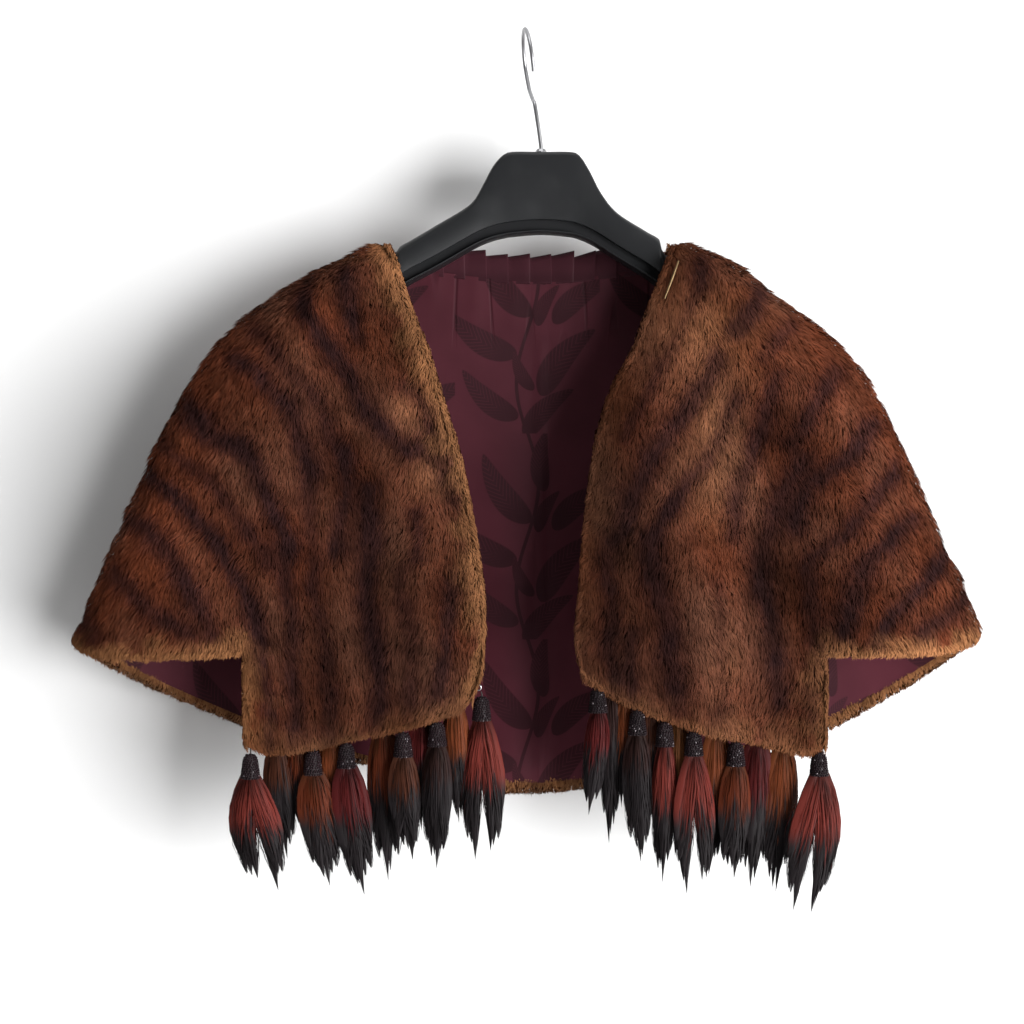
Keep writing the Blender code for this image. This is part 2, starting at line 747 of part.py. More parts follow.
def build_hanger(collection, cutters):
    """The moulded hanger, with the bore that its hook's stem sits in."""
    sections = arm_sections("left")[::-1] + HANGER_NECK + arm_sections("right")
    rings = [hanger_section(section) for section in sections]
    sides = len(rings[0])
    points = [place for ring in rings for place in ring]
    faces = [tuple(range(sides)), tuple(range(len(points) - sides, len(points)))]
    for ring in range(len(rings) - 1):
        for side in range(sides):
            a, b = ring * sides + side, ring * sides + (side + 1) % sides
            faces.append((a, b, b + sides, a + sides))
    hanger = closed_object("hanger_body", points, faces, "black_plastic", collection)
    bpy.ops.mesh.primitive_cylinder_add(
        vertices=16, radius=BORE_RADIUS * MM, depth=-2 * BORE_FLOOR * MM - 0.16,
        location=(HANGER_CENTRE_X * MM, 0, -0.08),
    )
    bore = bpy.context.object
    bore.name = "hook_bore"
    bore.hide_render = True
    bore.display_type = "WIRE"
    for owner in list(bore.users_collection):
        owner.objects.unlink(bore)
    cutters.objects.link(bore)
    cut = hanger.modifiers.new("hook_bore", "BOOLEAN")
    cut.operation = "DIFFERENCE"
    cut.object = bore


def hook_route():
    """The hook's wire centres: up the stem, round the back, over the crown to its tip."""
    crown_z = HOOK_WIRE / 2
    centre_z = crown_z - HOOK_RADIUS
    route = [(0.0, HOOK_STEM_FOOT), (0.0, HOOK_STEM_STRAIGHT), (0.0, HOOK_BEND_Z)]
    neck = Route([(0.0, HOOK_BEND_Z), (9.0, -50.5), (20.0, -41.0),
                  (HOOK_RADIUS, centre_z)])
    route += [tuple(neck.at(share)) for share in (0.2, 0.4, 0.6, 0.8, 1.0)]
    turns = 14
    for turn in range(1, turns + 1):
        angle = HOOK_TIP_ANGLE * turn / turns
        route.append((HOOK_RADIUS * math.cos(angle), centre_z + HOOK_RADIUS * math.sin(angle)))
    points = []
    for across, z in route:
        lean = HANGER_CENTRE_X * np.clip((crown_z - z) / (crown_z - HOOK_STEM_STRAIGHT), 0, 1)
        points.append((lean - across * math.sin(HOOK_TURN), across * math.cos(HOOK_TURN), z))
    return points


def wire_object(name, points, radius, finish, collection, closed=False):
    """A round wire through points, with closed ends."""
    curve = bpy.data.curves.new(name, "CURVE")
    curve.dimensions = "3D"
    curve.bevel_depth = radius * MM
    curve.bevel_resolution = 2
    curve.use_fill_caps = True
    spline = curve.splines.new("POLY")
    spline.points.add(len(points) - 1)
    spline.use_cyclic_u = closed
    for slot, place in zip(spline.points, points):
        slot.co = (*(np.asarray(place, float) * MM), 1.0)
    curve.materials.append(material_of(finish))
    made = bpy.data.objects.new(name, curve)
    collection.objects.link(made)
    return made


def turned_object(name, profile, place, steps, finish, collection):
    """A profile of (radius, z) turned about the upright through a place."""
    mesh = bpy.data.meshes.new(name)
    points = [(radius * MM, 0, z * MM) for radius, z in profile]
    mesh.from_pydata(points, [(i, i + 1) for i in range(len(points) - 1)], [])
    made = bpy.data.objects.new(name, mesh)
    made.location = np.asarray(place, float) * MM
    mesh.materials.append(material_of(finish))
    collection.objects.link(made)
    screw = made.modifiers.new("turn", "SCREW")
    screw.steps = steps
    screw.render_steps = steps
    screw.use_merge_vertices = True
    screw.merge_threshold = 0.0001
    screw.use_smooth_shade = True
    return made


def build_ferrule(collection):
    """The collar round the stem where it enters the hanger."""
    foot = HANGER_NECK[8].top + TOUCH
    profile = [(BORE_RADIUS, foot + FERRULE_HEIGHT), (FERRULE_RADIUS - 1, foot + FERRULE_HEIGHT),
               (FERRULE_RADIUS, foot + 1.0), (FERRULE_RADIUS, foot), (BORE_RADIUS, foot),
               (BORE_RADIUS, foot + FERRULE_HEIGHT)]
    turned_object("hook_ferrule", profile, (HANGER_CENTRE_X, 0, 0), 16, "wire", collection)


def hem_place(cloth, side, x):
    """The front hem's outer and inner points and the direction up the cloth, at an x."""
    grid, normals = cloth[f"front_{side}"]
    order = np.argsort(grid[-1, :, 0])

    def read(row, depth):
        line = (grid[row] - depth * normals[row])[order]
        return np.array([np.interp(x, line[:, 0], line[:, axis]) for axis in range(3)])

    outer, inner, above = read(-1, 0.0), read(-1, FUR_WALL), read(-2, FUR_WALL)
    return outer, inner, unit(above - inner)


def tail_object(name, top, tip, half_width, finish, collection):
    """A tail's plain solid: flattened rings that swell and taper to a point."""
    top, tip = np.asarray(top, float), np.asarray(tip, float)
    points = []
    for share, width, depth in TAIL_FORM:
        centre = top + (tip - top) * share
        centre[0] = top[0] + (tip[0] - top[0]) * share ** 1.5
        for side in range(TAIL_SIDES):
            angle = 2 * math.pi * side / TAIL_SIDES
            points.append(centre + (half_width * width * math.cos(angle),
                                    TAIL_HALF_DEPTH * depth * math.sin(angle), 0.0))
    rings = len(TAIL_FORM)
    last = (rings - 1) * TAIL_SIDES
    faces = [tuple(range(TAIL_SIDES)), tuple(range(last, last + TAIL_SIDES))]
    for ring in range(rings - 1):
        for side in range(TAIL_SIDES):
            a = ring * TAIL_SIDES + side
            b = ring * TAIL_SIDES + (side + 1) % TAIL_SIDES
            faces.append((a, b, b + TAIL_SIDES, a + TAIL_SIDES))
    return closed_object(name, points, faces, finish, collection)


def build_capped_tail(name, place, tail, collection):
    """A beaded cap whose thread ends just under a place, and the tail it holds."""
    cap_top = place[2] - tail.thread
    profile = [(0.0, place[2]), (THREAD_RADIUS, place[2]), (THREAD_RADIUS, cap_top),
               (CAP_TOP_RADIUS, cap_top - 1.6), (CAP_FOOT_RADIUS, cap_top - CAP_HEIGHT + 2.0),
               (CAP_FOOT_RADIUS - 0.6, cap_top - CAP_HEIGHT), (0.0, cap_top - CAP_HEIGHT)]
    turned_object(f"{name}_cap", profile, (place[0], place[1], 0), CAP_STEPS, "beads",
                  collection)
    top = (place[0], place[1], cap_top - CAP_HEIGHT - TOUCH)
    tip = (tail.tip_x, place[1], tail.tip_z)
    tail_object(f"{name}_tail", top, tip, tail.half_width, "capped_tail", collection)


def build_fringe(cloth, collection):
    """All the tails along both front hems, and the ring that holds the corner one."""
    for side in SIDES:
        for number, tail in enumerate(CAPPED_TAILS[side], 1):
            name = f"tassel_{side}_{number}"
            if (side, number) == CORNER_TAIL:
                place = build_corner_ring(cloth, tail, collection)
            else:
                outer, inner, _ = hem_place(cloth, side, tail.top_x)
                place = (outer + inner) / 2
                place[0] = tail.top_x
                place[2] = min(outer[2], inner[2]) - 1.5 * TOUCH
            build_capped_tail(name, place, tail, collection)
        for number, tail in enumerate(PLAIN_TAILS[side], 1):
            outer, inner, up = hem_place(cloth, side, tail.top_x)
            start = inner + up * PLAIN_TAIL_RISE
            y = start[1] + 2 * TOUCH + TAIL_HALF_DEPTH * TAIL_FORM[0][2]
            top = (tail.top_x, y, start[2])
            tip = (tail.tip_x, y + PLAIN_TAIL_BACK, tail.tip_z)
            tail_object(f"plain_tail_{side}_{number}", top, tip, tail.half_width,
                        "plain_tail", collection)


def build_corner_ring(cloth, tail, collection):
    """The wire ring sewn inside the left front's corner. Returns where a thread meets it."""
    _, inner, up = hem_place(cloth, "left", RING_X)
    reach = RING_RADIUS + RING_WIRE
    centre = inner + up * 4.0
    centre[0] = RING_X
    centre[1] = inner[1] + TOUCH + RING_WIRE + 0.3
    turns = 12
    points = []
    for turn in range(turns):
        angle = 2 * math.pi * turn / turns
        points.append(centre + (RING_RADIUS * math.cos(angle), 0, RING_RADIUS * math.sin(angle)))
    wire_object("corner_ring", points, RING_WIRE, "wire", collection, closed=True)
    return np.array((tail.top_x, centre[1], centre[2] - reach - TOUCH))


def build_neck_bar(cloth, collection):
    """The gilt hook bar that lies along the right front's neck edge."""
    grid, _ = cloth["front_right"]
    columns = grid.shape[1]
    quads = [(r * columns + c, r * columns + c + 1, (r + 1) * columns + c + 1,
              (r + 1) * columns + c)
             for r in range(grid.shape[0] - 1) for c in range(columns - 1)]
    pelt = BVHTree.FromPolygons([tuple(place) for place in grid.reshape(-1, 3)], quads)
    points = []
    for x, z in straight(BAR_FROM, BAR_TO, 3):
        place, out, _, _ = pelt.ray_cast((x, -2 * FRONT_HEM_DEPTH, z), (0, 1, 0))
        out = np.array(out if out[1] < 0 else -out)
        points.append(np.array(place) + out * (BAR_RADIUS + 2 * TOUCH))
    wire_object("neck_hook_bar", points, BAR_RADIUS, "gold", collection)


def main():
    """Builds the stole and its hanger."""
    clear_scene()
    parts = new_collection("fur_stole_on_hanger")
    cutters = new_collection("cutters", hidden=True)
    cloth = build_cloth(parts)
    build_ruffle(cloth, parts)
    build_hanger(parts, cutters)
    build_ferrule(parts)
    wire_object("hanger_hook", hook_route(), HOOK_WIRE / 2, "wire", parts)
    build_fringe(cloth, parts)
    build_neck_bar(cloth, parts)


if __name__ == "__main__":
    main()
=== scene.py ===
"""Looks of a fur stole with a fringe of dyed tails, hanging open on a coat hanger.

Metres, +Z up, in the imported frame: the origin is the inside of the hook's crown, +X runs
to the viewer's right, and the open front faces -Y. Tables are in millimetres, and MM turns
them into metres where a mesh is made. "left" and "right" are as a viewer in front sees them.

The pelt's outer surface is the frame's own form, cut into fronts, sleeves and back. A thin
skin lies inside it, and each panel's pile of blade-shaped hairs grows from the skin out to
that surface. The satin lining lies under the skin, a knife-pleated frill stands on its neck
edge, and the tails hang under the hems as bundles of longer hairs.
"""

import logging
import math
from dataclasses import dataclass, field
from enum import Enum
from typing import NamedTuple, Sequence

import bpy
import numpy as np
from bpy.types import Material, Mesh, Node, NodeSocket, NodeTree, Object
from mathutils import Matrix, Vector
from mathutils.bvhtree import BVHTree
from mathutils.kdtree import KDTree


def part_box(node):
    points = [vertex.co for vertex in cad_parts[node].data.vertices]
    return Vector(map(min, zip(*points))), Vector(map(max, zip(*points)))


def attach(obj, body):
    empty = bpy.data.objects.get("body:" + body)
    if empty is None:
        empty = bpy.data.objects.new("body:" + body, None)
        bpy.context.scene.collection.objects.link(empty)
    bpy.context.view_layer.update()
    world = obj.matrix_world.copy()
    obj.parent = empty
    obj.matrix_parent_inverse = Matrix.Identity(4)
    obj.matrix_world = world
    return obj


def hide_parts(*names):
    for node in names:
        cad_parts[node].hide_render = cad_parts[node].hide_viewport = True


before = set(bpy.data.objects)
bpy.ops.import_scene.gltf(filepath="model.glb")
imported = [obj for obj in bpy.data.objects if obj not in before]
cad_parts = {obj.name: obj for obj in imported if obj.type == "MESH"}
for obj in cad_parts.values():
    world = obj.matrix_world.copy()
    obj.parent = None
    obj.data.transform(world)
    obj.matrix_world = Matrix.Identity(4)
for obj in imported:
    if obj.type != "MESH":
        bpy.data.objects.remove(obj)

MM = 0.001
BODY = "root"
LOG = logging.getLogger("fur_stole")


class Side(Enum):
    """A half of the stole, as a viewer in front sees it."""

    LEFT = "left"
    RIGHT = "right"

    @property
    def outward(self) -> float:
        """The sign of x away from the neck."""
        return -1.0 if self is Side.LEFT else 1.0


class Flow(Enum):
    """How the hair of a rolled edge lies: along the edge, or over it and under."""

    ALONG = "along"
    OVER = "over"


class Rim(Enum):
    """One of the four edges of a panel's grid."""

    FIRST = "first"
    LAST = "last"
    TOP = "top"
    BOTTOM = "bottom"


class Spot(NamedTuple):
    """A place in the front view, in millimetres."""

    x: float
    z: float


class Fold(NamedTuple):
    """A soft upright fold: its place, half width, height at the hem and where it starts."""

    x: float
    width: float
    height: float
    top: float


class Stripe(NamedTuple):
    """A dark stripe of the pelt: its line, half width, and how dark it is."""

    line: tuple
    width: float = 8.0
    dark: float = 1.0


class ArmSection(NamedTuple):
    """A section of the hanger: its place, top, underside, half depth and crown radius."""

    x: float
    top: float
    bottom: float
    half_depth: float
    crown: float


# The stole's outline, as in the frame
SHOULDER_LINE = {
    Side.LEFT: [
        Spot(-107, -169), Spot(-128, -172), Spot(-150, -182), Spot(-181, -198),
        Spot(-217, -222), Spot(-251, -254), Spot(-287, -312), Spot(-317, -380),
        Spot(-343, -438), Spot(-362, -486),
    ],
    Side.RIGHT: [
        Spot(117, -169), Spot(142, -172), Spot(168, -185), Spot(194, -203),
        Spot(219, -222), Spot(252, -248), Spot(278, -280), Spot(311, -348),
        Spot(338, -410), Spot(355, -448), Spot(366, -480),
    ],
}
SHOULDER_POINT_X = {Side.LEFT: -166.0, Side.RIGHT: 175.0}
FRONT_EDGE = {
    Side.LEFT: [
        Spot(-107, -169), Spot(-101, -180), Spot(-89, -218), Spot(-74, -257),
        Spot(-61, -300), Spot(-46, -351), Spot(-36, -406), Spot(-30, -452),
        Spot(-31, -498), Spot(-38, -524),
    ],
    Side.RIGHT: [
        Spot(117, -169), Spot(113, -180), Spot(98, -218), Spot(83, -257),
        Spot(63, -297), Spot(51, -351), Spot(45, -406), Spot(41, -452),
        Spot(39, -484), Spot(44, -508),
    ],
}
FRONT_HEM = {
    Side.LEFT: [
        Spot(-38, -524), Spot(-44, -533), Spot(-60, -541), Spot(-96, -552),
        Spot(-134, -560), Spot(-180, -569), Spot(-206, -568), Spot(-218, -560),
    ],
    Side.RIGHT: [
        Spot(44, -508), Spot(58, -521), Spot(97, -540), Spot(135, -552),
        Spot(181, -563), Spot(214, -571), Spot(228, -569), Spot(234, -560),
    ],
}
FRONT_NOTCH = {Side.LEFT: Spot(-219, -494), Side.RIGHT: Spot(235, -494)}
BACK_HEM = [
    Spot(-225, -561), Spot(-150, -584), Spot(-75, -604), Spot(5, -613),
    Spot(90, -605), Spot(165, -587), Spot(240, -568),
]
# The back neckline: x, y and z
NECKLINE = [
    (-107, 0, -169), (-106, 13, -171.5), (-101, 23, -177.5), (-90, 28, -182),
    (-67, 30.5, -185.5), (-42, 32, -189.5), (-4, 33, -194), (35, 33, -194), (60, 32, -189.5),
    (77, 30.5, -186), (99, 28, -182), (111, 23, -177.5), (116, 13, -171.5), (117, 0, -169),
]
# The soft folds that hang from the shoulders
FRONT_FOLDS = [
    Fold(-76, 24, 4.5, -300), Fold(-128, 22, -4.0, -280), Fold(-186, 24, 4.0, -320),
    Fold(-268, 30, 3.5, -350), Fold(88, 24, -3.5, -300), Fold(138, 26, 4.5, -280),
    Fold(192, 22, -4.0, -320), Fold(276, 32, 3.5, -350),
]
BACK_FOLDS = [
    Fold(-190, 26, 4.0, -330), Fold(-132, 24, -4.0, -300), Fold(-72, 28, 4.5, -260),
    Fold(-12, 24, -4.0, -230), Fold(46, 26, 4.0, -250), Fold(108, 26, -4.5, -280),
    Fold(178, 28, 4.0, -320),
]

# Where the pelt's dark stripes run: from the wings' outline inward and down to the hem
WING_STRIPES = [
    Stripe(((-214, -236), (-195, -255), (-183, -272), (-160, -305), (-145, -340)), 7, 0.75),
    Stripe(((-231, -262), (-211, -273), (-190, -297), (-175, -322), (-165, -351)), 8, 0.9),
    Stripe(((-268, -301), (-245, -318), (-225, -333), (-198, -366), (-186, -412)), 9, 1.0),
    Stripe(((-283, -331), (-268, -343), (-246, -360), (-218, -395), (-197, -428)), 7, 0.8),
    Stripe(((-297, -356), (-268, -380), (-236, -412), (-214, -453), (-203, -490)), 8, 1.0),
    Stripe(((-313, -393), (-295, -403), (-275, -420), (-253, -460), (-244, -478)), 8, 0.9),
    Stripe(((-325, -432), (-312, -442), (-300, -458), (-278, -470), (-262, -480)), 8, 0.85),
    Stripe(((-349, -466), (-338, -482)), 8, 0.8),
    Stripe(((-258, -446), (-252, -456)), 10, 0.6),
    Stripe(((212, -236), (196, -247), (186, -262)), 7, 0.7),
    Stripe(((246, -276), (232, -294), (217, -313), (205, -331)), 8, 0.85),
    Stripe(((278, -314), (260, -333), (235, -352), (217, -374), (209, -396)), 8, 0.95),
    Stripe(((290, -350), (270, -375), (253, -395), (235, -410), (220, -427)), 8, 0.9),
    Stripe(((306, -387), (285, -410), (267, -427), (254, -450), (246, -479)), 8, 0.95),
    Stripe(((333, -419), (313, -436), (295, -456), (281, -472), (274, -484)), 8, 1.0),
    Stripe(((348, -455), (328, -468), (313, -479)), 8, 0.85),
]
FRONT_STRIPES = [
    Stripe(((-176, -217), (-163, -243), (-145, -269), (-111, -317), (-92, -336)), 9, 1.0),
    Stripe(((-140, -192), (-136, -219), (-130, -250)), 8, 0.9),
    Stripe(((-168, -204), (-172, -216)), 8, 0.7),
    Stripe(((-94, -287), (-76, -310), (-62, -334)), 6, 0.9),
    Stripe(((-82, -334), (-66, -353), (-56, -377)), 6, 0.85),
    Stripe(((-148, -330), (-138, -362), (-141, -392), (-145, -414)), 8, 0.9),
    Stripe(((-165, -351), (-166, -400), (-161, -446), (-154, -499), (-151, -560)), 7, 0.75),
    Stripe(((-186, -412), (-184, -453), (-178, -500), (-176, -560)), 7, 0.85),
    Stripe(((-203, -490), (-198, -530), (-196, -562)), 7, 0.9),
    Stripe(((-119, -366), (-122, -421), (-120, -468), (-113, -505), (-111, -546)), 9, 1.0),
    Stripe(((-84, -386), (-81, -421)), 6, 0.8),
    Stripe(((-93, -430), (-90, -484), (-89, -540)), 7, 0.7),
    Stripe(((-56, -440), (-60, -484), (-66, -526)), 8, 0.9),
    Stripe(((142, -187), (135, -214)), 7, 0.85),
    Stripe(((186, -210), (178, -226), (169, -241)), 9, 1.0),
    Stripe(((152, -262), (145, -280), (128, -305), (95, -346), (76, -395)), 9, 1.0),
    Stripe(((129, -225), (114, -255), (99, -292), (80, -326)), 6, 0.7),
    Stripe(((164, -297), (155, -319), (141, -346), (122, -370), (100, -404)), 8, 1.0),
    Stripe(((198, -282), (188, -314), (178, -331), (168, -360), (160, -400)), 8, 0.85),
    Stripe(((215, -345), (196, -384), (184, -421), (187, -456), (192, -490), (198, -530)), 9, 0.9),
    Stripe(((66, -405), (64, -460), (68, -515)), 8, 0.85),
    Stripe(((98, -410), (104, -448), (112, -484), (118, -532)), 11, 0.9),
    Stripe(((85, -478), (82, -523)), 7, 0.8),
    Stripe(((150, -440), (152, -490), (150, -545)), 6, 0.5),
    Stripe(((222, -440), (226, -480), (224, -550)), 9, 0.8),
]
BACK_STRIPES = [
    Stripe(((-165, -204), (-158, -300), (-168, -400), (-180, -575)), 8, 0.85),
    Stripe(((-128, -180), (-130, -290), (-136, -410), (-142, -584)), 8, 0.95),
    Stripe(((-96, -190), (-100, -300), (-102, -420), (-106, -594)), 8, 0.85),
    Stripe(((-62, -190), (-66, -290), (-66, -420), (-68, -602)), 8, 1.0),
    Stripe(((-28, -196), (-32, -310), (-30, -430), (-30, -608)), 8, 0.85),
    Stripe(((6, -198), (4, -300), (6, -430), (6, -611)), 9, 1.0),
    Stripe(((40, -196), (38, -310), (42, -440), (42, -608)), 8, 0.85),
    Stripe(((74, -190), (74, -300), (78, -430), (80, -603)), 8, 1.0),
    Stripe(((106, -190), (110, -300), (114, -420), (118, -596)), 8, 0.85),
    Stripe(((138, -182), (142, -300), (148, -420), (156, -586)), 8, 0.95),
    Stripe(((172, -196), (172, -310), (182, -420), (194, -578)), 8, 0.85),
    Stripe(((-208, -500), (-206, -566)), 8, 0.9), Stripe(((222, -500), (222, -568)), 8, 0.9),
]


def unit(vectors: np.ndarray) -> np.ndarray:
    """Vectors at length one.

    Args:
        vectors: An array whose last axis is x, y, z.

    Returns:
        The same array with every vector at length one.
    """
    lengths = np.linalg.norm(vectors, axis=-1, keepdims=True)
    return vectors / np.maximum(lengths, 1e-9)


def smoothstep(value: np.ndarray) -> np.ndarray:
    """A soft step from 0 to 1."""
    value = np.clip(value, 0.0, 1.0)
    return value * value * (3.0 - 2.0 * value)


def turned(vectors: np.ndarray, axes: np.ndarray, angles: np.ndarray) -> np.ndarray:
    """Vectors turned about axes.

    Args:
        vectors: The vectors to turn, one a row.
        axes: A unit axis for each.
        angles: An angle in radians for each.

    Returns:
        The turned vectors.
    """
    cosine, sine = np.cos(angles)[:, None], np.sin(angles)[:, None]
    lift = np.sum(axes * vectors, axis=1, keepdims=True)
    return vectors * cosine + np.cross(axes, vectors) * sine + axes * lift * (1 - cosine)


def read_grid(layer: np.ndarray, rows: np.ndarray, columns: np.ndarray) -> np.ndarray:
    """A grid of values read between its points.

    Args:
        layer: The values, by row and column.
        rows: The rows to read at, as fractions of a step.
        columns: The columns to read at.

    Returns:
        The values there.
    """
    i = np.minimum(rows.astype(int), layer.shape[0] - 2)
    j = np.minimum(columns.astype(int), layer.shape[1] - 2)
    a, b = rows - i, columns - j
    if layer.ndim == 3:
        a, b = a[..., None], b[..., None]
    return ((1 - a) * (1 - b) * layer[i, j] + (1 - a) * b * layer[i, j + 1]
            + a * (1 - b) * layer[i + 1, j] + a * b * layer[i + 1, j + 1])


def cell_crosses(grid: np.ndarray) -> np.ndarray:
    """The cross product of each cell's diagonals: its normal, at twice its area."""
    return np.cross(grid[1:, 1:] - grid[:-1, :-1], grid[1:, :-1] - grid[:-1, 1:])


def grid_quads(index: np.ndarray) -> np.ndarray:
    """The corners of each cell of a grid of point numbers, one cell a row."""
    return np.stack([index[:-1, :-1], index[:-1, 1:], index[1:, 1:], index[1:, :-1]],
                    axis=-1).reshape(-1, 4)


def tube_faces(index: np.ndarray) -> list[list[int]]:
    """The faces of a tube with closed ends.

    Args:
        index: The tube's point numbers, one ring a row.

    Returns:
        The corners of each face: the sides, ring by ring, and then the two ends.
    """
    after = np.roll(index, -1, axis=1)
    sides = np.stack([index[:-1], after[:-1], after[1:], index[1:]], axis=-1)
    return [*sides.reshape(-1, 4).tolist(), index[0][::-1].tolist(), index[-1].tolist()]


class Route:
    """A smooth curve through spots, read by its share of length."""

    STEPS = 12

    def __init__(self, spots: Sequence[Sequence[float]]) -> None:
        """Fits the curve.

        Args:
            spots: The points that it passes through, each with the same coordinates.
        """
        knots = np.array(spots, float)
        ends = np.vstack([2 * knots[0] - knots[1], knots, 2 * knots[-1] - knots[-2]])
        line = [knots[0]]
        for index in range(1, len(ends) - 2):
            before, start, end, after = ends[index - 1:index + 3]
            for step in range(1, self.STEPS + 1):
                t = step / self.STEPS
                line.append(0.5 * (2 * start + (end - before) * t
                                   + (2 * before - 5 * start + 4 * end - after) * t * t
                                   + (3 * start - before - 3 * end + after) * t ** 3))
        self.line = np.array(line)
        strides = np.linalg.norm(np.diff(self.line, axis=0), axis=1)
        self.length = np.concatenate([[0.0], np.cumsum(strides)])
        self.share = self.length / self.length[-1]

    def at(self, shares: np.ndarray | float) -> np.ndarray:
        """The places at shares of the length from 0 to 1, one a row."""
        return np.stack([np.interp(shares, self.share, column) for column in self.line.T],
                        axis=-1)

    def share_at(self, axis: int, values: np.ndarray | float) -> np.ndarray:
        """The shares of length at which a coordinate has these values.

        Args:
            axis: Which coordinate.
            values: Its values.

        Returns:
            A share from 0 to 1 for each value.
        """
        column = self.line[:, axis]
        order = np.argsort(column)
        return np.interp(values, column[order], self.share[order])


class Ripple:
    """A smooth field of small waves, the same on every run."""

    WAVES = 9

    def __init__(self, size: float, seed: int) -> None:
        """Draws the waves.

        Args:
            size: The usual distance from crest to crest, in millimetres.
            seed: The seed of the draw.
        """
        draw = np.random.default_rng(seed)
        spread = draw.normal(size=(self.WAVES, 3))
        self.waves = unit(spread) * (2 * math.pi / size) * draw.uniform(0.6, 1.5, (self.WAVES, 1))
        self.phases = draw.uniform(0, 2 * math.pi, self.WAVES)

    def at(self, places: np.ndarray) -> np.ndarray:
        """The field, about -1 to 1, at places given as x, y, z in millimetres."""
        return np.sin(places @ self.waves.T + self.phases).sum(-1) / math.sqrt(self.WAVES)


class StripeMap:
    """How dark the pelt is over one view of the stole."""

    STEP = 2.0
    SPREAD = 1.22
    X_RANGE = (-400.0, 400.0)
    Z_RANGE = (-650.0, -140.0)

    def __init__(self, stripes: Sequence[Stripe], seed: int) -> None:
        """Draws the stripes on a fine grid.

        Args:
            stripes: The stripes of this view.
            seed: The seed of the small waver in their lines.
        """
        xs = np.arange(*self.X_RANGE, self.STEP)
        zs = np.arange(*self.Z_RANGE, self.STEP)
        x, z = np.meshgrid(xs, zs, indexing="ij")
        places = np.stack([x, np.zeros_like(x), z], axis=-1)
        x = x + 2.5 * Ripple(60, seed).at(places) + 1.0 * Ripple(16, seed + 1).at(places)
        z = z + 2.5 * Ripple(60, seed + 2).at(places) + 1.0 * Ripple(16, seed + 3).at(places)
        light = np.ones_like(x)
        for stripe in stripes:
            line = Route(stripe.line).line[::4]
            nearest = np.full_like(x, 1e9)
            for (ax, az), (bx, bz) in zip(line[:-1], line[1:]):
                across = (x - ax) * (bx - ax) + (z - az) * (bz - az)
                share = np.clip(across / ((bx - ax) ** 2 + (bz - az) ** 2 + 1e-9), 0, 1)
                gap = (x - ax - share * (bx - ax)) ** 2 + (z - az - share * (bz - az)) ** 2
                nearest = np.minimum(nearest, gap)
            wide = self.SPREAD * stripe.width
            light *= 1 - stripe.dark * np.exp(-(nearest / wide ** 2) ** 1.15)
        self.dark = 1 - light

    def at(self, x: np.ndarray, z: np.ndarray) -> np.ndarray:
        """The darkness at places in the view.

        Args:
            x: Their places across, in millimetres.
            z: Their heights.

        Returns:
            The darkness from 0 to 1 at each.
        """
        across = np.clip((x - self.X_RANGE[0]) / self.STEP, 0, self.dark.shape[0] - 1)
        up = np.clip((z - self.Z_RANGE[0]) / self.STEP, 0, self.dark.shape[1] - 1)
        return read_grid(self.dark, across, up)


